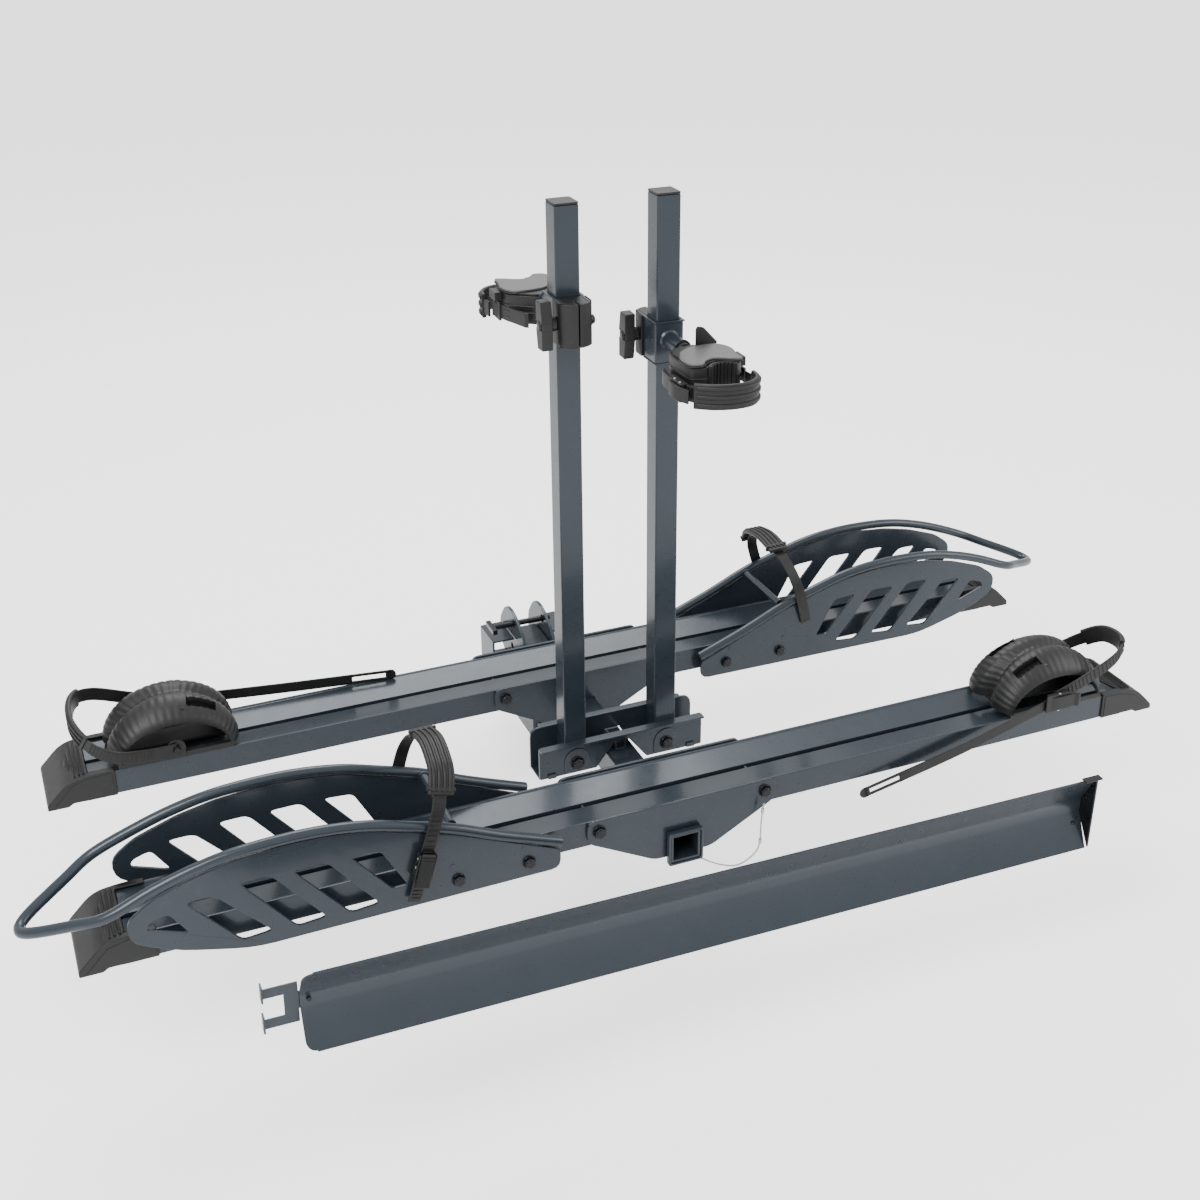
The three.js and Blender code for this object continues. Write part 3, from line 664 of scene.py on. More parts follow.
# ---- the studio ---------------------------------------------------------------------------------
@dataclass
class Studio:
    """Floor, soft lights and the camera.

    Args:
        eye: the camera's place in metres.
        aside: the camera's own right.
        back: the way from the scene to the camera.
        lens: focal length for a 36 mm frame.
        shift: how far the frame is moved across and up.
        floor: height of the floor in metres.
    """

    eye: tuple[float, float, float] = (-0.9143, -2.7273, 1.6383)
    aside: tuple[float, float, float] = (0.9185, -0.3953, 0.0)
    back: tuple[float, float, float] = (-0.3599, -0.8361, 0.4141)
    lens: float = 49.38
    shift: tuple[float, float] = (-0.0283, -0.0635)
    floor: float = -0.102

    def camera(self) -> None:
        """Makes the camera."""
        data = bpy.data.cameras.new("camera")
        data.lens = self.lens
        data.sensor_width = 36.0
        data.shift_x, data.shift_y = self.shift
        data.clip_end = 60.0
        aside = Vector(self.aside).normalized()
        back = Vector(self.back).normalized()
        up = back.cross(aside).normalized()
        camera = bpy.data.objects.new("camera", data)
        camera.matrix_world = Matrix.Translation(self.eye) @ Matrix((aside, up, back)).transposed().to_4x4()
        bpy.context.scene.collection.objects.link(camera)
        bpy.context.scene.camera = camera

    def light(self, name: str, place: Point, aim: Point, size: float, power: float) -> None:
        """Makes one soft square light.

        Args:
            name: its name.
            place: where it stands.
            aim: the point it faces.
            size: its side.
            power: its power in watts.
        """
        data = bpy.data.lights.new(name, "AREA")
        data.size = size
        data.energy = power
        lamp = bpy.data.objects.new(name, data)
        way = Vector(aim) - Vector(place)
        turn = way.to_track_quat("-Z", "Y").to_matrix().to_4x4()
        lamp.matrix_world = Matrix.Translation(place) @ turn
        bpy.context.scene.collection.objects.link(lamp)

    def seen(self, tree: bpy.types.NodeTree, socket: bpy.types.NodeSocket, lit: float, shown: float) -> None:
        """Gives a backdrop one strength as a light and a brighter one where it is seen directly.

        Args:
            tree: the node tree.
            socket: the strength socket.
            lit: its strength as a light.
            shown: its strength where it is seen.
        """
        rays = tree.nodes.new("ShaderNodeLightPath")
        mix = tree.nodes.new("ShaderNodeMapRange")
        mix.inputs["To Min"].default_value = lit
        mix.inputs["To Max"].default_value = shown
        tree.links.new(rays.outputs["Is Camera Ray"], mix.inputs["Value"])
        tree.links.new(mix.outputs["Result"], socket)

    def build(self) -> None:
        """Makes the floor, the world and the lights."""
        bm = bmesh.new()
        bmesh.ops.create_grid(bm, x_segments=1, y_segments=1, size=14.0)
        bmesh.ops.translate(bm, vec=(0, 0, self.floor), verts=bm.verts)
        mesh = bpy.data.meshes.new("floor")
        bm.to_mesh(mesh)
        bm.free()
        floor = bpy.data.objects.new("floor", mesh)
        bpy.context.scene.collection.objects.link(floor)
        paper = bpy.data.materials.new("studio paper")
        paper.use_nodes = True
        shader = paper.node_tree.nodes["Principled BSDF"]
        shader.inputs["Base Color"].default_value = (0.95, 0.95, 0.95, 1)
        shader.inputs["Roughness"].default_value = 0.9
        shader.inputs["Emission Color"].default_value = (1, 1, 1, 1)
        self.seen(paper.node_tree, shader.inputs["Emission Strength"], 0.0, 1.3)
        mesh.materials.append(paper)
        world = bpy.data.worlds.new("studio")
        world.use_nodes = True
        sky = world.node_tree.nodes["Background"]
        sky.inputs["Color"].default_value = (1, 1, 1, 1)
        self.seen(world.node_tree, sky.inputs["Strength"], 0.95, 2.4)
        bpy.context.scene.world = world
        middle = (0.0, -0.5, 0.35)
        self.light("key light", (-2.6, -2.4, 3.6), middle, 2.2, 130.0)
        self.light("fill light", (3.4, -2.2, 2.2), middle, 2.4, 60.0)
        self.light("top light", (0.4, 1.6, 3.8), middle, 2.6, 110.0)


# ---- the tether ---------------------------------------------------------------------------------
@dataclass
class Tether:
    """The thin cable with its crimped loop, from a tray bolt to under the spine.

    Args:
        route: the cable's path.
        thick: its diameter.
    """

    route: tuple = (
        (134, -809, 165), (131, -810, 145), (129, -811, 120), (128, -812, 95), (118, -812, 75),
        (90, -812, 62), (60, -810, 70), (36, -804, 82), (22, -792, 89), (10, -780, 92.5),
    )
    thick: float = 2.4

    def build(self, shop: Workshop) -> None:
        """Makes the cord and the pieces on it.

        Args:
            shop: makes the pieces.
        """
        line = [p * MM for p in smooth_line(self.route, 3)]
        curve = bpy.data.curves.new("tether", "CURVE")
        curve.dimensions = "3D"
        spline = curve.splines.new("POLY")
        spline.points.add(len(line) - 1)
        for point, place in zip(spline.points, line):
            point.co = (*place, 1)
        curve.bevel_depth = self.thick / 2 * MM
        curve.bevel_resolution = 3
        curve.use_fill_caps = True
        curve.materials.append(CABLE.material())
        cord = bpy.data.objects.new("tether", curve)
        bpy.context.scene.collection.objects.link(cord)
        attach(cord, "rack")
        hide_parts("lanyard_cable")
        bm = bmesh.new()
        rod(bm, (132.6, -809.4, 156), (131.6, -809.8, 148), 2.6, 16)
        rod(bm, (128.3, -811.8, 101), (128.0, -812.0, 93), 2.6, 16)
        crimps = shop.piece(bm, "tether_crimps", "rack", BRIGHT_STEEL, edge=Edge(0.4))


# ---- hitch end ----------------------------------------------------------------------------------
@dataclass
class HitchEnd:
    """Shank, drop plates, hinge box, hinge bolt, stop pin and the locking hitch pin.

    Args:
        lock_x: where the lock stands along the hitch bolt.
        lock_radius: the lock's radius.
        thread: where the bolt's thread starts and ends.
        turns: turns of the thread.
        hinge: how far forward and how high the rack's hinge is.
        key_radius: a key bow's radius.
        key_hole: radius of the hole in the bow.
        ring_radius: the key ring's radius.
    """

    lock_x: float = 67.0
    lock_radius: float = 20.0
    thread: tuple[float, float] = (-41.0, 14.0)
    turns: int = 27
    hinge: tuple[float, float] = (-140.0, SPINE_HEIGHT)
    key_radius: float = 11.5
    key_hole: float = 3.2
    ring_radius: float = 9.0

    def build(self, shop: Workshop) -> None:
        """Makes every piece of the hitch end.

        Args:
            shop: makes the pieces.
        """
        for node in ("hitch_shank", "left_drop_plate", "right_drop_plate", "pivot_crossbox"):
            shop.from_node(node, COAT, Edge(0.9))
        shop.from_node("pivot_bolt", BLACK_STEEL, Edge(0.7))
        bm = bmesh.new()
        rod(bm, (-44.2, *self.hinge), (-36.0, *self.hinge), 12, 6)
        for x in (-34.8, 33.2):
            rod(bm, (x, *self.hinge), (x + 1.6, *self.hinge), 15, 28)
        shop.piece(bm, "pivot_nut_and_washers", "hitch", BLACK_STEEL, edge=Edge(0.5))
        shop.from_node("tilt_stop_pin", BLACK_STEEL, Edge(0.8))
        self.pin(shop)
        self.lock(shop)
        self.keys(shop)

    def pin(self, shop: Workshop) -> None:
        """Makes the threaded hitch bolt with its washers.

        Args:
            shop: makes the pieces.
        """
        bm = bmesh.new()
        rod(bm, (-58.4, 0, 0), (-46.4, 0, 0), 13.9, 6)
        rod(bm, (-59.2, 0, 0), (-58.2, 0, 0), 10.8, 24, 11.6)
        rod(bm, (-47, 0, 0), (self.thread[0], 0, 0), 7.2, 24)
        rod(bm, (self.thread[1], 0, 0), (57, 0, 0), 7.6, 28)
        rod(bm, (self.thread[0], 0, 0), (self.thread[1], 0, 0), 6.7, 28)
        body = "hitch_bolt_body"
        shop.piece(bm, "hitch_bolt_shape", body, BLACK_STEEL, edge=Edge(0.6), replaces=["hitch_bolt"])
        bm = bmesh.new()
        ring = circle(7.1)
        low, high = self.thread
        total = self.turns * len(ring)
        helix = [Vector((low + (high - low) * i / total, *ring[i % len(ring)])) for i in range(total + 1)]
        sweep(bm, circle(0.75, 6), frames_along(helix, (1, 0, 0), carried=True))
        shop.piece(bm, "hitch_bolt_thread", body, BLACK_STEEL, edge=Edge(0))
        bm = bmesh.new()
        collar(bm, (-42.6, 0, 0), (1, 0, 0), [(8.3, 0), (17.5, 0), (17.5, 2.2), (8.3, 2.2)])
        collar(bm, (-46.0, 0, 0), (1, 0, 0), [(8.3, 0), (13.6, 0), (13.6, 2.6), (8.3, 2.6)])
        shop.piece(bm, "hitch_bolt_washers", body, BLACK_STEEL, edge=Edge(0.4))

    def lock(self, shop: Workshop) -> None:
        """Makes the lock's barrel, its moulded cap and its seal.

        Args:
            shop: makes the pieces.
        """
        x, r = self.lock_x, self.lock_radius
        bm = bmesh.new()
        collar(
            bm, (x, 0, -34), (0, 0, 1),
            [(0.01, 20), (6.2, 20), (6.2, 0.8), (r - 4.5, 0), (r - 1.2, 0.2), (r, 1.6), (r, 61),
             (r - 0.8, 61.6), (r - 0.8, 62.4), (r, 63), (r, 65), (r - 2.4, 67), (0.01, 67)],
            48,
        )
        shop.piece(bm, "lock_barrel", "lock", MOULDED, edge=Edge(0, angle=40), replaces=["lock_body"])
        bm = bmesh.new()
        seal = [(8.4, 0), (11, 0.6), (11.4, 2.2), (11, 3.8), (10.4, 7.4), (8.4, 7.4)]
        collar(bm, (41, 0, 0), (1, 0, 0), seal)
        shop.piece(bm, "lock_neck_seal", "lock", STRAP, edge=Edge(0, angle=50))
        bm = bmesh.new()
        collar(bm, (x, 0, -34.7), (0, 0, 1), [(6.4, 0), (12.4, 0), (12.4, 1.6), (6.4, 1.6)])
        shop.piece(bm, "lock_keyway_rim", "lock", BLACK_STEEL, edge=Edge(0.3))

    def keys(self, shop: Workshop) -> None:
        """Makes the key in the lock, the ring through it and the spare key that hangs there.

        Args:
            shop: makes the pieces.
        """
        x = self.lock_x
        bm = bmesh.new()
        rod(bm, (x, 0, -33.5), (x, 0, -15.5), 5.2, 24)
        block(bm, (x - 4, -1, -46), (x + 4, 1, -33))
        self.bow(bm, Matrix.Translation((x, 0, -54)))
        shop.piece(bm, "key_shape", "key", BRIGHT_STEEL, edge=Edge(0.3), replaces=["lock_key"])
        bm = bmesh.new()
        for lift in (0.0, 1.3):
            ring = [Vector((x + 0.6 + lift, y, z - 61.0)) for y, z in circle(self.ring_radius, 40)]
            frames = frames_along([*ring, ring[0]], (1, 0, 0))[:-1]
            sweep(bm, circle(0.65, 8), frames, closed=True)
        shop.piece(bm, "key_ring", "key", BRIGHT_STEEL, edge=Edge(0))
        bm = bmesh.new()
        hang = Matrix.Translation((x + 4.4, 0, -73)) @ Matrix.Rotation(math.radians(-62), 4, "Y")
        self.bow(bm, hang)
        blade = bmesh.new()
        block(blade, (-3.4, -1, -44), (3.4, 1, -9))
        bmesh.ops.transform(blade, matrix=hang, verts=blade.verts)
        absorb(bm, blade)
        shop.piece(bm, "spare_key", "key", BRIGHT_STEEL, edge=Edge(0.3))

    def bow(self, bm: bmesh.types.BMesh, place: Matrix) -> None:
        """Adds a key's flat bow with its hole.

        Args:
            bm: the mesh being built.
            place: where its middle is.
        """
        part = bmesh.new()
        hole, edge = self.key_hole, self.key_radius
        profile = [(hole, -1.2), (edge, -1.2), (edge, 1.2), (hole, 1.2)]
        collar(part, (0, 0, 0), (0, 1, 0), profile, 24)
        bmesh.ops.transform(part, matrix=place, verts=part.verts)
        absorb(bm, part)


# ---- spine --------------------------------------------------------------------------------------
@dataclass
class Spine:
    """The square spine with its end collar."""

    def build(self, shop: Workshop) -> None:
        """Makes the tube and its collar."""
        shop.from_node("spine_tube", COAT, Edge(1.2))
        shop.from_node("spine_collar", COAT, Edge(1.4, 3))


# ---- wheel trays --------------------------------------------------------------------------------
@dataclass
class WheelTray:
    """One wheel tray with its brackets, bolts and moulded end caps.

    Args:
        end: front or rear.
        half: half of the tray's width.
        bolt: a bolt's place along the tray and its height.
        bracket_face: distance from the tray's middle to a bracket's outer face.
    """

    end: str
    half: float = 60.5
    bolt: tuple[float, float] = (141.0, 60.0)
    bracket_face: float = 66.4

    def place(self) -> Matrix:
        """The tray's own frame."""
        turn = Matrix.Rotation(math.pi if self.end == "front" else 0.0, 4, "Z")
        return Matrix.Translation((0, TRAY_LINES[self.end], SPINE_HEIGHT)) @ turn

    def build(self, shop: Workshop) -> None:
        """Makes every piece of the tray.

        Args:
            shop: makes the pieces.
        """
        end = self.end
        shop.from_node(f"{end}_tray", COAT, Edge(0.6))
        shop.from_node(f"{end}_outer_bracket", COAT, Edge(0.9))
        shop.from_node(f"{end}_inner_bracket", COAT, Edge(0.9))
        bm = bmesh.new()
        for x in (-self.bolt[0], self.bolt[0]):
            hex_head(bm, (x, self.bracket_face, self.bolt[1]), (0, 1, 0))
            hex_head(bm, (x, -self.bracket_face, self.bolt[1]), (0, -1, 0))
            rod(bm, (x, -self.bracket_face - 9, self.bolt[1]), (x, self.bracket_face, self.bolt[1]), 5, 18)
        shop.piece(bm, f"{end}_tray_bolts", "rack", BLACK_STEEL, self.place(), Edge(0.5))
        for node, side in ((f"{end}_cap_hoop_end", 1), (f"{end}_cap_cradle_end", -1)):
            self.cap(shop, node, side)

    def cap(self, shop: Workshop, node: str, side: int) -> None:
        """Makes one end cap with its grip ribs, side panels and rounded lip.

        Args:
            shop: makes the pieces.
            node: the CAD node.
            side: 1 for the hoop's end, -1 for the cradle's.
        """
        shop.from_node(node, MOULDED, Edge(2.0, 3))
        bm = bmesh.new()
        wide = self.half + 3
        slope = [
            (842, 80.3), (849, 79.6), (856, 77.4), (863, 73.0), (870, 66.8), (877, 60.0), (884, 53.0),
            (891, 46.0),
        ]
        reach = wide - 9
        for x, z in slope:
            rod(bm, (side * x, -reach, z - 0.6), (side * x, reach, z - 0.6), 1.5, 8)
        for y in (-1, 1):
            outline = [(800, 38), (866, 38), (874, 33), (893, 33), (862, 66), (832, 74), (800, 76)]
            points = [(side * x, z) for x, z in outline]
            low, high = sorted((y * (wide - 0.8), y * (wide + 1.0)))
            prism(bm, points, "Y", low, high)
        shop.piece(bm, f"{node}_ribs", "rack", MOULDED, self.place(), Edge(0.7))


# ---- wheel hoops --------------------------------------------------------------------------------
@dataclass
class WheelHoop:
    """One pair of slotted hoop plates with the bent tube, the bar, the bolts and the wheel strap.

    Args:
        end: front or rear.
        plate: distance from the tray's middle to a plate's middle.
        sheet: the plates' thickness.
        tube: the tube's radius.
        strap_at: where the strap stands along the hoop.
        lean: how far the strap leans for each millimetre of height.
        bolts: each bolt's place along the hoop and its height.
        bar: the cross bar's place along the hoop and its height.
        tooth_gap: distance between the strap's teeth.
    """

    end: str
    plate: float = 78.5
    sheet: float = 5.0
    tube: float = 8.0
    strap_at: float = 51.0
    lean: float = -0.3
    bolts: tuple[tuple[float, float], ...] = ((0.0, 48.5), (-109.5, 48.5))
    bar: tuple[float, float] = (4.0, 138.0)
    tooth_gap: float = 5.2

    def place(self) -> Matrix:
        """The hoop's own frame."""
        return WheelTray(self.end).place() @ Matrix.Translation((HOOP_BOLTS[self.end], 0, 0))

    def tube_line(self) -> list[Vector]:
        """The middle of the bent tube.

        Returns:
            The points of its middle.
        """
        y = self.plate
        side = [
            (-162, y, 69), (-70, y, 105), (4, y, 138), (65, y, 158), (125, y, 176), (185, y, 185),
            (245, y, 187), (312, y, 183), (368, y, 172), (425, y, 154), (488, y, 128), (530, 56, 112),
            (584, 22, 92),
        ]
        back = [(u, -v, z) for u, v, z in reversed(side)]
        return smooth_line([*side, (598, 0, 86), *back], 5)

    def leaning(self, lateral: float, height: float) -> Vector:
        """A point of the strap's line."""
        return Vector((self.strap_at + self.lean * (height - 100), lateral, height))

    def build(self, shop: Workshop) -> None:
        """Makes every piece of the hoop.

        Args:
            shop: makes the pieces.
        """
        end = self.end
        shop.from_node(f"{end}_hoop_outer_plate", COAT, Edge(0.9), merge=False)
        shop.from_node(f"{end}_hoop_inner_plate", COAT, Edge(0.9), merge=False)
        bm = bmesh.new()
        sweep(bm, circle(self.tube, 18), frames_along(self.tube_line(), (0, 1, 0), carried=True))
        node = f"{end}_hoop_tube"
        shop.piece(bm, f"{node}_shape", "rack", COAT, self.place(), Edge(1.2, 2, 50), [node])
        bm = bmesh.new()
        reach = self.plate - self.tube - 1
        u, z = self.bar
        rod(bm, (u, -reach, z), (u, reach, z), 6.4, 20)
        for side in (-1, 1):
            rod(bm, (u, side * (reach - 2.4), z), (u, side * reach, z), 8.4, 20)
        shop.piece(bm, f"{end}_hoop_bar", "rack", COAT, self.place(), Edge(0.8), [f"{end}_hoop_cross_bar"])
        bm = bmesh.new()
        face = self.plate + self.sheet / 2
        for u, z in self.bolts:
            for side in (-1, 1):
                hex_head(bm, (u, side * face, z), (0, side, 0), 9.2, 6)
            rod(bm, (u, -face, z), (u, face, z), 5, 16)
        shop.piece(bm, f"{end}_hoop_bolts", "rack", BLACK_STEEL, self.place(), Edge(0.5))
        bm = bmesh.new()
        for u, z in self.bolts:
            for side in (-1, 1):
                low, high = sorted((side * 60.9, side * (self.plate - self.sheet / 2)))
                rod(bm, (u, low, z), (u, high, z), 10, 24)
                rod(bm, (u + 8, side * face, z + 26), (u + 8, side * (face + 0.7), z + 26), 4, 20)
        shop.piece(bm, f"{end}_hoop_spacers", "rack", COAT, self.place(), Edge(0.3))
        self.strap(shop)

    def strap(self, shop: Workshop) -> None:
        """Makes the toothed wheel strap, its ridged pad and its buckle.

        Args:
            shop: makes the pieces.
        """
        end, body = self.end, f"{self.end}_hoop_strap_body"
        way = [
            (-84.5, 100), (-90.5, 150), (-86, 190), (-58, 222), (0, 236), (58, 222), (86, 190), (90.5, 150),
            (88, 100), (90, 62), (88, 36),
        ]
        line = smooth_line([self.leaning(*p) for p in way], 12)
        frames = frames_along(line, (1, 0, 0))
        bm = bmesh.new()
        sweep(bm, rounded(20, 3.4, 1.2, 2), frames)
        start = run = 0.0
        for before, after, frame in zip(line, line[1:], frames):
            run += (after - before).length
            if run - start > self.tooth_gap and before.y > 62:
                start = run
                turn = frame @ Matrix.Translation((0, -1.9, 0))
                bmesh.ops.create_cube(bm, size=1, matrix=turn @ Matrix.Diagonal((14, 1.8, 2.4, 1)))
        node = f"{end}_hoop_strap"
        shop.piece(bm, f"{node}_shape", body, STRAP, self.place(), Edge(0.4, 1), [node])
        pad = ((-46, 235.4), (0, 243.8), (40, 237.6), (66, 227.0), (84, 203))
        frames = frames_along(smooth_line([self.leaning(*p) for p in pad], 8), (1, 0, 0))
        bm = bmesh.new()
        sweep(bm, rounded(38, 7.5, 3, 3), frames)
        for side in (-12, -4, 4, 12):
            bars = [f @ Matrix.Translation((side, -4.4, 0)) for f in frames[1:-1]]
            sweep(bm, rounded(4.4, 2.6, 1, 1), bars)
        for at in (2, len(frames) - 3):
            bmesh.ops.create_cube(bm, size=1, matrix=frames[at] @ Matrix.Diagonal((41, 11, 5, 1)))
        shop.piece(bm, f"{end}_hoop_pad_shape", body, STRAP, self.place(), Edge(0.8), [f"{node}_pad"])
        self.buckle(shop, body)

    def buckle(self, shop: Workshop, body: str) -> None:
        """Makes the ratchet buckle with its lever and bright rivets.

        Args:
            shop: makes the pieces.
            body: the body that they ride on.
        """
        middle = self.leaning(92.5, 96)
        turn = Matrix.Translation(middle) @ Matrix.Rotation(math.atan(self.lean), 4, "Y")
        bm = bmesh.new()
        for side in (-1, 1):
            block(bm, (side * 12.2 - 1.3, -6.5, -24), (side * 12.2 + 1.3, 6.5, 20))
        block(bm, (-12, -6.4, -24), (12, -3.6, 20))
        lever = [(4.2, 22), (7.4, 20), (8.8, -4), (12.5, -30), (9.6, -31), (5.4, -8), (3.4, 4)]
        prism(bm, lever, "X", -10.5, 10.5)
        for z in (-20, -14, 10, 14):
            block(bm, (-10, 5.4, z), (10, 8.8, z + 2.2))
        shop.piece(bm, f"{self.end}_hoop_buckle", body, MOULDED, self.place() @ turn, Edge(0.9))
        bm = bmesh.new()
        for z in (-2, 12):
            rod(bm, (-14.4, 0.5, z), (14.4, 0.5, z), 2.3, 14)
        shop.piece(bm, f"{self.end}_hoop_buckle_rivets", body, BRIGHT_STEEL, self.place() @ turn, Edge(0.5))


# ---- wheel cradles ------------------------------------------------------------------------------
@dataclass
class WheelCradle:
    """One ribbed wheel cradle with its loop strap and its long tail.

    Args:
        end: front or rear.
        tail: the tail's path.
        out: where the cradle stands from the tray's middle.
        seat: height where the arch springs.
        ribs: ribs over the dome.
        strap_face: distance from the cradle's middle to the buckle's inner face.
        window: distance from the cradle's middle to a window's middle.
    """

    end: str
    tail: tuple[Point, ...]
    out: float = 697.0
    seat: float = 80.8
    ribs: int = 24
    strap_face: float = 78.8
    window: float = 37.0

    def place(self) -> Matrix:
        """The cradle's own frame."""
        return WheelTray(self.end).place() @ Matrix.Translation((-self.out, 0, 0))

    def shell(self) -> list[tuple[float, float, float]]:
        """The dome's section: across, then how far it reaches along and up at that place.

        Returns:
            The section's corners in order.
        """
        outer = [
            (-63, 88, 58), (-62, 91, 63), (-56, 97, 71), (-46, 102, 80), (-36, 105, 86.5), (-28, 106, 90),
            (-20, 105, 91.5), (-13, 100, 90.5), (-6, 89, 86.5), (0, 84, 84), (6, 89, 86.5), (13, 100, 90.5),
            (20, 105, 91.5), (28, 106, 90), (36, 105, 86.5), (46, 102, 80), (56, 97, 71), (62, 91, 63),
            (63, 88, 58),
        ]
        inner = [(y * 0.93, a - 6, b - 6) for y, a, b in outer[1:-1]]
        return [*outer, *reversed(inner)]

    def build(self, shop: Workshop) -> None:
        """Makes every piece of the cradle.

        Args:
            shop: makes the pieces.
        """
        self.dome(shop)
        self.rails(shop)
        self.loop(shop)
        self.tail_end(shop)

    def dome(self, shop: Workshop) -> None:
        """Makes the ribbed dome with its two windows.

        Args:
            shop: makes the pieces.
        """
        ring = [(a, y, b) for y, a, b in self.shell()]
        steps = self.ribs * 4 + 1
        matrices = []
        for i in range(steps + 1):
            angle = math.radians(2 + 176 * i / steps)
            k = (1.0, 1.0, 0.997, 0.986)[i % 4] if 3 < i < steps - 3 else 0.99
            stretch = Matrix.Diagonal((k * math.cos(angle), 1, k * math.sin(angle), 1))
            matrices.append(Matrix.Translation((0, 0, self.seat)) @ stretch)
        bm = bmesh.new()
        sweep(bm, ring, matrices)

        def windows(tool: bmesh.types.BMesh) -> None:
            """Fills a mesh with the windows' shapes.

            Args:
                tool: the mesh that is filled.
            """
            for side in (-1, 1):
                tilt = Matrix.Rotation(math.radians(24), 4, "Y")
                y = side * self.window
                block(tool, (22, y - 8, 120), (72, y + 8, 176), tilt)

        bmesh.ops.scale(bm, vec=(MM, MM, MM), verts=bm.verts)
        mesh = bpy.data.meshes.new("dome")
        bm.to_mesh(mesh)
        bm.free()
        mesh = carve(mesh, windows)
        mesh.transform(Matrix.Translation(self.place().translation * MM) @ self.place().to_3x3().to_4x4())
        body = f"{self.end}_cradle"
        shop.dress(mesh, f"{body}_dome", body, MOULDED, Edge(0, angle=55), [f"{body}_saddle"])

    def rails(self, shop: Workshop) -> None:
        """Makes the cradle's base, its foot in the slot and the ratchets in its windows.

        Args:
            shop: makes the pieces.
        """
        z = self.seat
        bm = bmesh.new()
        for side in (-1, 1):
            block(bm, (-92, side * 57 - 5, z - 3.4), (92, side * 57 + 5, z + 5.5))
            rod(bm, (0, side * 62, z + 17), (0, side * 66.5, z + 17), 15, 28)
            block(bm, (-14, side * 64 - 2, z - 2), (14, side * 64 + 2, z + 15))
        block(bm, (-92, -24, z), (92, 24, z + 5))
        block(bm, (-42, -4.3, 63), (42, 4.3, z + 2))
        for side in (-1, 1):
            tilt = Matrix.Rotation(math.radians(26), 4, "Y")
            y = side * self.window
            block(bm, (12, y - 13, 139), (80, y + 13, 145), tilt)
            block(bm, (18, side * 24 - 2, 139), (74, side * 24 + 2, 155), tilt)
            for i in range(6):
                x = 24 + 8 * i
                top = 155.5 - 0.49 * (x - 24)
                block(bm, (x, y - 6, top - 4), (x + 3.6, y + 6, top + 1.5), tilt)
        shop.piece(bm, f"{self.end}_cradle_base", f"{self.end}_cradle", MOULDED, self.place(), Edge(1.2))

    def loop(self, shop: Workshop) -> None:
        """Makes the loop strap with its teeth, its pad and its anchor screw.

        Args:
            shop: makes the pieces.
        """
        body = f"{self.end}_cradle_strap_body"
        way = [
            (0, -69, 97), (-50, -71, 99), (-96, -69, 106), (-132, -52, 126), (-150, -16, 150),
            (-142, 38, 160), (-110, 67, 152), (-50, 72.5, 128), (8, 73, 108),
        ]
        line = smooth_line(way, 8)
        frames = frames_along(line, (0, 0, 1))
        bm = bmesh.new()
        sweep(bm, rounded(22, 3.4, 1.2, 2), frames)
        for frame in [*frames[6:24], *frames[-24:-3]]:
            turn = frame @ Matrix.Translation((0, -1.9, 0))
            bmesh.ops.create_cube(bm, size=1, matrix=turn @ Matrix.Diagonal((17, 1.6, 2.6, 1)))
        name = f"{self.end}_cradle_loop"
        shop.piece(bm, name, body, STRAP, self.place(), Edge(0.4, 1), [f"{self.end}_cradle_strap"])
        bm = bmesh.new()
        pad = frames[25:44]
        sweep(bm, rounded(30, 8, 3, 3), pad)
        for side in (-9, 0, 9):
            sweep(bm, rounded(5, 2.4, 1, 1), [f @ Matrix.Translation((side, -4.6, 0)) for f in pad[1:-1]])
        shop.piece(bm, f"{self.end}_cradle_pad", body, STRAP, self.place(), Edge(0.8))
        bm = bmesh.new()
        rod(bm, (0, -71, 97), (0, -75, 97), 6.5, 22, 5)
        rod(bm, (0, 75, 106), (0, 78.6, 106), 5.5, 22, 4.4)
        body = f"{self.end}_cradle"
        shop.piece(bm, f"{body}_screws", body, BLACK_STEEL, self.place(), Edge(0.5))

    def tail_end(self, shop: Workshop) -> None:
        """Makes the buckle and the strap's long tail with its slotted end.

        Args:
            shop: makes the pieces.
        """
        body = f"{self.end}_cradle"
        line = smooth_line(self.tail, 14)
        frames = frames_along(line, (0, 0, 1))
        bm = bmesh.new()
        sweep(bm, rounded(19, 3, 1.1, 2), frames[:-5])
        tip = frames[-6]
        for side in (-1, 1):
            rail = [f @ Matrix.Translation((side * 6.6, 0, 0)) for f in frames[-7:]]
            sweep(bm, rounded(5.4, 3, 1.1, 2), rail)
        end_frame = frames[-1]
        bmesh.ops.create_cube(bm, size=1, matrix=end_frame @ Matrix.Diagonal((18.4, 3, 6, 1)))
        rod(bm, end_frame @ Vector((0, -1.5, 2)), end_frame @ Vector((0, 1.5, 2)), 9.2, 24)
        bmesh.ops.create_cube(bm, size=1, matrix=tip @ Matrix.Diagonal((18.4, 3, 4, 1)))
        shop.piece(bm, f"{self.end}_cradle_tail", body, STRAP, self.place(), Edge(0.5, 1))
        bm = bmesh.new()
        y = self.strap_face
        block(bm, (-6, y - 1.4, 88), (34, y + 4.6, 94))
        block(bm, (-6, y - 1.4, 114), (34, y + 4.6, 119))
        block(bm, (-10, y + 3.2, 88), (38, y + 6.4, 119))
        lever = [(30, y + 6), (14, y + 10.5), (-16, y + 9.5), (-22, y + 13), (-26, y + 12), (-20, y + 6)]
        prism(bm, lever, "Z", 92, 115)
        shop.piece(bm, f"{self.end}_cradle_buckle", body, MOULDED, self.place(), Edge(0.9))
        bm = bmesh.new()
        rod(bm, (12, y + 4, 86.5), (12, y + 4, 120.5), 2.2, 14)
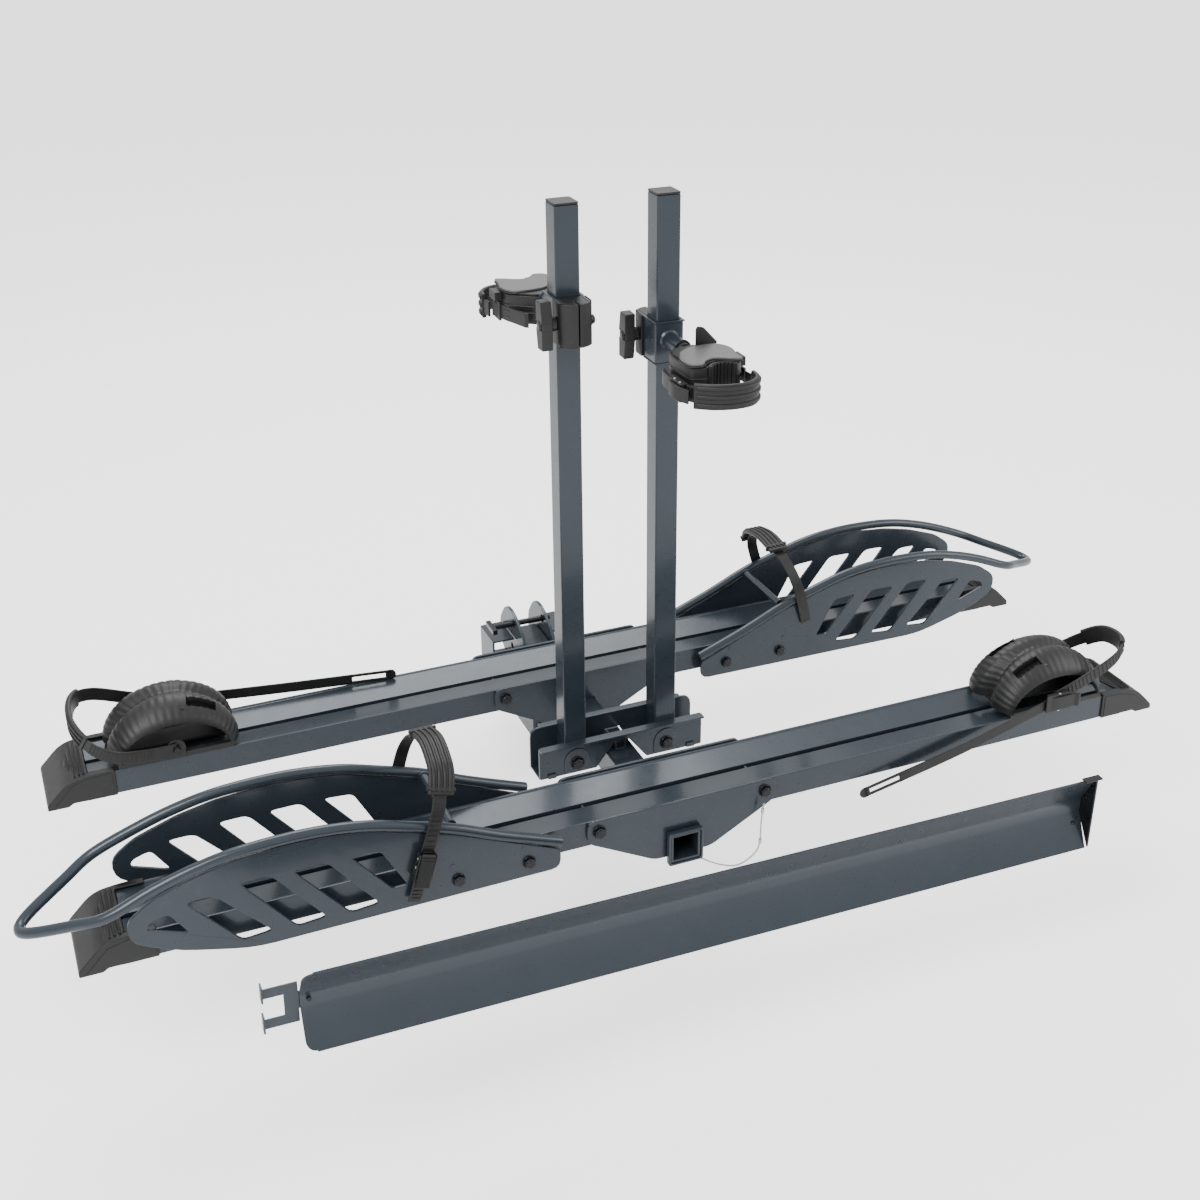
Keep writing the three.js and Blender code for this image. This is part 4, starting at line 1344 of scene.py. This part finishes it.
        shop.piece(bm, f"{self.end}_cradle_buckle_rivet", body, BRIGHT_STEEL, self.place(), Edge(0.5))


# ---- mast ---------------------------------------------------------------------------------------
@dataclass
class Mast:
    """The folded base of the mast and its two posts.

    Args:
        half: half of a post's width with its clearance.
        pivot: height of the post bolts over the spine's axis.
        top: height of the posts' tops.
        pad: radius of the raised pad round a post bolt.
    """

    half: float = 19.45
    pivot: float = 24.0
    top: float = 958.0
    pad: float = 23.0

    def place(self) -> Matrix:
        """The mast's own frame."""
        return Matrix.Translation((0, MAST_LINE, SPINE_HEIGHT))

    def build(self, shop: Workshop) -> None:
        """Makes every piece of the mast.

        Args:
            shop: makes the pieces.
        """
        shop.from_node("mast_front_plate", COAT, Edge(0.35, 1))
        for node in ("mast_back_plate", "mast_seat"):
            shop.from_node(node, COAT, Edge(0.9))
        self.base(shop)
        for side, sign in (("left", -1), ("right", 1)):
            self.post(shop, side, sign)

    def base(self, shop: Workshop) -> None:
        """Makes the raised pads, the back flange and the locating tabs of the base.

        Args:
            shop: makes the pieces.
        """
        face = self.half + 5
        bm = bmesh.new()
        for x in (-POST_OUT, POST_OUT):
            arc = [(x + u, self.pivot + 4 + v) for u, v in circle(self.pad, 30)[:16]]
            outline = [(x + self.pad, 8.5), *arc, (x - self.pad, 8.5)]
            prism(bm, outline, "Y", -face - 1.6, -face - 0.05)
            prism(bm, outline, "Y", face + 0.05, face + 1.6)
        for x in (-126, 126):
            block(bm, (x - 7, -face - 3.2, 5.2), (x + 7, -face - 0.1, 13))
            block(bm, (x - 7, face + 0.1, 2.4), (x + 7, face + 3.2, 11))
        block(bm, (-128, face - 0.5, 74.4), (128, face + 9, 77.8))
        reach = self.half - 0.3
        for side in (-1, 1):
            web = [(side * 46, 3), (side * 50, 3), (side * 16.5, 47), (side * 12.5, 47)]
            prism(bm, web, "Y", -reach, reach)
            low, high = sorted((side * 112, side * 146.5))
            block(bm, (low, -reach, 3), (high, reach, 6))
        shop.piece(bm, "mast_base_pads", "rack", COAT, self.place(), Edge(0.5))
        bm = bmesh.new()
        for x in (-POST_OUT, POST_OUT):
            for side in (-1, 1):
                hex_head(bm, (x, side * (face + 1.7), self.pivot), (0, side, 0), 10.6, 6.4)
            rod(bm, (x, -face - 1, self.pivot), (x, face + 1, self.pivot), 6, 18)
        bolts = ["left_post_bolt", "right_post_bolt"]
        shop.piece(bm, "mast_bolts", "rack", BLACK_STEEL, self.place(), Edge(0.5), bolts)

    def post(self, shop: Workshop, side: str, sign: int) -> None:
        """Makes one post with its moulded end plug.

        Args:
            shop: makes the pieces.
            side: left or right.
            sign: -1 for the left, 1 for the right.
        """
        shop.from_node(f"{side}_post", COAT, Edge(1.1, 3))
        x = sign * POST_OUT
        bm = bmesh.new()
        shape = rounded(38.4, 38.4, 3.2, 3)
        prism(bm, [(x + u, v) for u, v in shape], "Z", self.top + 0.3, self.top + 3.6)
        prism(bm, [(x + u * 0.84, v * 0.84) for u, v in shape], "Z", self.top - 16, self.top + 0.4)
        name = f"{side}_post_plug"
        shop.piece(bm, name, f"{side}_post_body", MOULDED, self.place(), Edge(0.9), [f"{side}_post_cap"])


# ---- frame clamps -------------------------------------------------------------------------------
@dataclass
class FrameClamp:
    """One sliding clamp with its jaw, its wing knob and the claw for a bicycle's frame.

    Args:
        side: left or right.
        height: its height over the spine's axis.
        knob: the side of the post that its knob is on, in its own frame.
        stud: distance from the post's middle to the knob's stud.
    """

    side: str
    height: float
    knob: int
    stud: float = 37.0

    def place(self) -> Matrix:
        """The clamp's own frame.

        Returns:
            The frame.
        """
        x, angle = (-POST_OUT, math.pi) if self.side == "left" else (POST_OUT, 0.0)
        turn = Matrix.Rotation(angle, 4, "Z")
        return Matrix.Translation((x, MAST_LINE, SPINE_HEIGHT + self.height)) @ turn

    def build(self, shop: Workshop) -> None:
        """Makes every piece of the clamp.

        Args:
            shop: makes the pieces.
        """
        side = self.side
        shop.from_node(f"{side}_clamp_bracket", COAT, Edge(1.2, 3))
        shop.from_node(f"{side}_clamp_jaw", MOULDED, Edge(0.9, 2), merge=False)
        bm = bmesh.new()
        outline = [
            (-25, -25), (25, -25), (25, 20), (21.4, 20), (21.4, -21.4), (-21.4, -21.4), (-21.4, 20),
            (-25, 20),
        ]
        for z in (-33.4, 31.2):
            prism(bm, outline, "Z", z, z + 2.2)
        rod(bm, (0, -23.4, 4), (0, -26.5, 4), 16.5, 32, 13.4)
        rod(bm, (0, -68, 4), (0, -71.4, 4), 14.4, 32)
        shop.piece(bm, f"{side}_clamp_rims", f"{side}_clamp", COAT, self.place(), Edge(0.6))
        self.wing(shop)
        Claw(self).build(shop)

    def wing(self, shop: Workshop) -> None:
        """Makes the wing knob with its stepped middle, its stud and its nut.

        Args:
            shop: makes the pieces.
        """
        side, body = self.side, f"{self.side}_knob"
        s, y = self.knob, self.stud
        bm = bmesh.new()
        upper = [(24, 5), (24, 36), (45, 37), (51, 5)]
        lower = [(23, -5), (29, -37), (50, -36), (50, -5)]
        for outline in (upper, lower):
            low, high = sorted((s * 36, s * 53))
            prism(bm, outline, "X", low, high)
        low, high = sorted((s * 36, s * 51.6))
        prism(bm, [(24.2, -7), (49.8, -7), (49.8, 7), (24.2, 7)], "X", low, high)
        rod(bm, (s * 27.4, y, 0), (s * 37, y, 0), 10.5, 28)
        rod(bm, (s * 50, y, 0), (s * 54.2, y, 0), 8.8, 28, 8.0)
        rod(bm, (s * -31, y, 0), (s * 36, y, 0), 4, 18)
        shop.piece(bm, f"{side}_wing_knob", body, MOULDED, self.place(), Edge(1.6, 3), [f"{side}_clamp_knob"])
        bm = bmesh.new()
        rod(bm, (s * 54.0, y, 0), (s * 54.9, y, 0), 5.4, 24, 4.8)
        hex_head(bm, (s * -26.8, y, 0), (-s, 0, 0), 7.6, 5)
        shop.piece(bm, f"{side}_knob_fastener", body, BLACK_STEEL, self.place(), Edge(0.4))


@dataclass
class Claw:
    """The claw on a clamp's arm: body, lobed cover, rubber groove, strap, pad and lever buckle.

    Args:
        clamp: the clamp that it turns on.
        groove: the middle and the radius of its round groove.
        strap_height: height of the strap's middle.
    """

    clamp: FrameClamp
    groove: tuple[float, float, float] = (17.0, -186.0, 27.0)
    strap_height: float = -26.0

    def outline(self, grow: float) -> list[tuple[float, float]]:
        """The body's outline from above, with its round groove.

        Args:
            grow: how far it stands out.

        Returns:
            The corners.
        """
        x0, y0, r = self.groove
        arc = []
        for i in range(13):
            angle = math.radians(152 - 124 * i / 12)
            arc.append((x0 + (r - grow) * math.cos(angle), y0 + (r - grow) * math.sin(angle)))
        g = grow
        left = [(-10 - g, -74 + g), (-28 - g, -84 + g), (-34 - g, -104), (-34 - g, -152), (-30 - g, -168 - g),
                (-18, -173 - g)]
        right = [(44, -171 - g), (51 + g, -164), (54 + g, -122), (50 + g, -106 + g), (40, -95 + g),
                 (20, -80 + g), (10, -74 + g)]
        return [*left, *arc, *right]

    def build(self, shop: Workshop) -> None:
        """Makes every piece of the claw.

        Args:
            shop: makes the pieces.
        """
        side = self.clamp.side
        body = f"{side}_claw_body"
        place = self.clamp.place()
        bm = bmesh.new()
        prism(bm, self.outline(0), "Z", -36, 8)
        prism(bm, self.outline(-3), "Z", 8, 11.8)
        rod(bm, (0, -73.2, 4), (0, -79, 4), 11, 32)
        for z in (-30, -20, -10):
            prism(bm, self.outline(1.2), "Z", z, z + 3)
        shop.piece(bm, f"{side}_claw_shape", body, MOULDED, place, Edge(1.2), [f"{side}_claw"])
        bm = bmesh.new()
        cover = smooth_line(
            [(*p, 0) for p in (
                (-24, -112), (-4, -99), (14, -95), (40, -96), (52, -110), (55, -128), (50, -152), (49, -171),
                (36, -168), (22, -159), (8, -155), (-6, -163), (-15, -174), (-30, -171), (-36, -158),
                (-34, -135), (-24, -112),
            )], 4,
        )[:-1]
        prism(bm, [(p.x, p.y) for p in cover], "Z", 12.2, 15.6)
        shop.piece(bm, f"{side}_claw_cover", body, SATIN_PLATE, place, Edge(1.0, 3))
        bm = bmesh.new()
        prism(bm, [(p.x * 1.03 - 0.4, p.y * 1.01 + 1.2) for p in cover], "Z", 9.5, 12.0)
        if side == "right":
            prism(bm, [(16, -2), (46, -2), (50, 14), (28, 38), (19, 40), (16, 36)], "Y", -86, -80)
            tongue = [(53, -112), (57, -108), (70, -126), (70, -144), (66, -145), (65, -128)]
            prism(bm, tongue, "Z", -34, -12)
        else:
            lever = [(59, -146), (63, -147), (50, -104), (38, -66), (33, -62), (33, -68), (46, -104)]
            prism(bm, lever, "Z", -35, -12)
            block(bm, (55, -146, -38), (59, -124, -8))
        block(bm, (54, -150, -6), (66, -122, 8))
        shop.piece(bm, f"{side}_claw_under_cover", body, MOULDED, place, Edge(0.9))
        self.rubber(shop, body, place)
        self.strap(shop, f"{side}_claw_strap_body", place)

    def rubber(self, shop: Workshop, body: str, place: Matrix) -> None:
        """Makes the rubber lining of the groove with its upright teeth.

        Args:
            shop: makes the pieces.
            body: the body that it rides on.
            place: the clamp's frame.
        """
        x0, y0, r = self.groove
        bm = bmesh.new()
        turns = [math.radians(154 - 128 * i / 16) for i in range(17)]
        outer, inner, teeth = (
            [(x0 + (r - depth) * math.cos(turn), y0 + (r - depth) * math.sin(turn)) for turn in turns]
            for depth in (0.4, 4.4, 4.9)
        )
        prism(bm, [*outer, *reversed(inner)], "Z", -35, 10.5)
        for x, y in teeth[1:16:2]:
            rod(bm, (x, y, -34), (x, y, 9.5), 2.2, 10)
        shop.piece(bm, f"{self.clamp.side}_claw_rubber", body, STRAP, place, Edge(0.6))

    def strap(self, shop: Workshop, body: str, place: Matrix) -> None:
        """Makes the strap round the groove, its ribbed pad, its buckle and its lever.

        Args:
            shop: makes the pieces.
            body: the body that they ride on.
            place: the clamp's frame.
        """
        side, z = self.clamp.side, self.strap_height
        way = [(-39, -90), (-43, -140), (-34, -184), (6, -211), (46, -209), (66, -178), (66, -150)]
        line = smooth_line([(*p, z) for p in way], 8)
        frames = frames_along(line, (0, 0, 1))
        bm = bmesh.new()
        sweep(bm, rounded(24, 3.4, 1.2, 2), frames)
        for frame in frames[4:22]:
            turn = frame @ Matrix.Translation((0, 1.9, 0))
            bmesh.ops.create_cube(bm, size=1, matrix=turn @ Matrix.Diagonal((18, 1.6, 2.6, 1)))
        shop.piece(bm, f"{side}_claw_band", body, STRAP, place, Edge(0.4, 1), [f"{side}_claw_strap"])
        bm = bmesh.new()
        way = [(-36, -188), (-12, -205), (17, -213.5), (46, -210), (64, -192), (68, -170)]
        pad = frames_along(smooth_line([(*p, z) for p in way], 6), (0, 0, 1))
        sweep(bm, rounded(39, 7.4, 3, 3), pad)
        for shift in (-13, 0, 13):
            sweep(bm, rounded(6.5, 3, 1.3, 2), [f @ Matrix.Translation((shift, 4.2, 0)) for f in pad[1:-1]])
        shop.piece(bm, f"{side}_claw_pad", body, STRAP, place, Edge(1.0, 3))
        bm = bmesh.new()
        for low in (z - 14, z + 11.6):
            block(bm, (-51, -172, low), (-38, -132, low + 2.4))
        block(bm, (-47.5, -172, z - 12), (-44.5, -132, z + 12))
        lever = [
            (-49, -136), (-54, -140), (-56, -158), (-54, -176), (-47, -192), (-44.5, -190), (-50, -172),
            (-49.5, -150),
        ]
        prism(bm, lever, "Z", z - 10.5, z + 10.5)
        tail = [(-45, -134), (-48, -130), (-47, -106), (-43.5, -93), (-41, -93), (-43.4, -106)]
        prism(bm, tail, "Z", z - 11, z + 11)
        shop.piece(bm, f"{side}_claw_buckle", body, MOULDED, place, Edge(0.8))
        bm = bmesh.new()
        for y in (-146, -164):
            rod(bm, (-47, y, z - 15.5), (-47, y, z + 15.5), 2.2, 14)
        shop.piece(bm, f"{side}_claw_rivets", body, BRIGHT_STEEL, place, Edge(0.5))


# ---- loading ramp -------------------------------------------------------------------------------
@dataclass
class LoadingRamp:
    """The ramp on its edge, with its hook bracket and its end plate.

    Args:
        left: the sheet's left end.
        tilt: how far it leans off level, in radians.
        corner: radius of the sheet's left corners.
        rivets: the rivets' middles.
    """

    left: float = -577.6
    tilt: float = 0.02
    corner: float = 14.0
    rivets: tuple[Point, ...] = ((-566, -7.4, 42), (-566, -1.2, 14), (648, -7.6, 42), (648, -7.4, -16))

    def place(self) -> Matrix:
        """The ramp's own frame."""
        return Matrix.Translation((-67, -1000, 160.5)) @ Matrix.Rotation(self.tilt, 4, "Y")

    def build(self, shop: Workshop) -> None:
        """Makes every piece of the ramp.

        Args:
            shop: makes the pieces.
        """
        def round_corners(tool: bmesh.types.BMesh) -> None:
            """Fills a mesh with what rounds the sheet's left corners.

            Args:
                tool: the mesh that is filled.
            """
            for z, way in ((72, 1), (-54, -1)):
                ring = []
                x0, r = self.left, self.corner
                for i in range(7):
                    angle = math.radians(90 * i / 6)
                    ring.append((x0 + r - r * math.sin(angle), z + way * (r * math.cos(angle) - r)))
                outline = [*ring, (x0 - 4, z - way * r), (x0 - 4, z + way * 6), (x0 + r, z + way * 6)]
                part = bmesh.new()
                prism(part, outline, "Y", -60, 30)
                bmesh.ops.transform(part, matrix=self.place(), verts=part.verts)
                absorb(tool, part)

        shop.from_node("ramp_sheet", COAT, Edge(0.5), cutters=[round_corners])
        shop.from_node("ramp_hook", COAT, Edge(0.5))
        shop.from_node("ramp_end_plate", BLACK_STEEL, Edge(0.7))
        bm = bmesh.new()
        for x, y, z in self.rivets:
            rod(bm, (x, y - 1.4, z), (x, y + 1.0, z), 3.2, 20)
        shop.piece(bm, "ramp_rivets", "ramp", BLACK_STEEL, self.place(), Edge(0.6))


# ---- the whole rack -----------------------------------------------------------------------------
def main() -> None:
    """Builds the studio and then every sub-assembly."""
    logging.basicConfig(level=logging.INFO, format="%(message)s")
    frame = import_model()
    studio = Studio()
    studio.camera()
    shop = Workshop(frame)
    Tether().build(shop)
    tails = {
        "front": ((2, 78.6, 109), (60, 78.6, 92), (200, 77, 52), (375, 76, 15)),
        "rear": ((2, 78.6, 108), (60, 78, 100), (200, 67, 92), (384, 54, 84)),
    }
    parts = [HitchEnd(), Spine(), Mast(), LoadingRamp()]
    parts += [WheelTray(end) for end in TRAY_LINES]
    parts += [WheelHoop(end) for end in TRAY_LINES]
    parts += [WheelCradle(end, tails[end]) for end in TRAY_LINES]
    parts += [FrameClamp("right", 733.0, -1), FrameClamp("left", 790.0, 1)]
    for part in parts:
        part.build(shop)
    studio.build()
    LOG.info("%d pieces", len(shop.made))


if __name__ == "__main__":
    main()
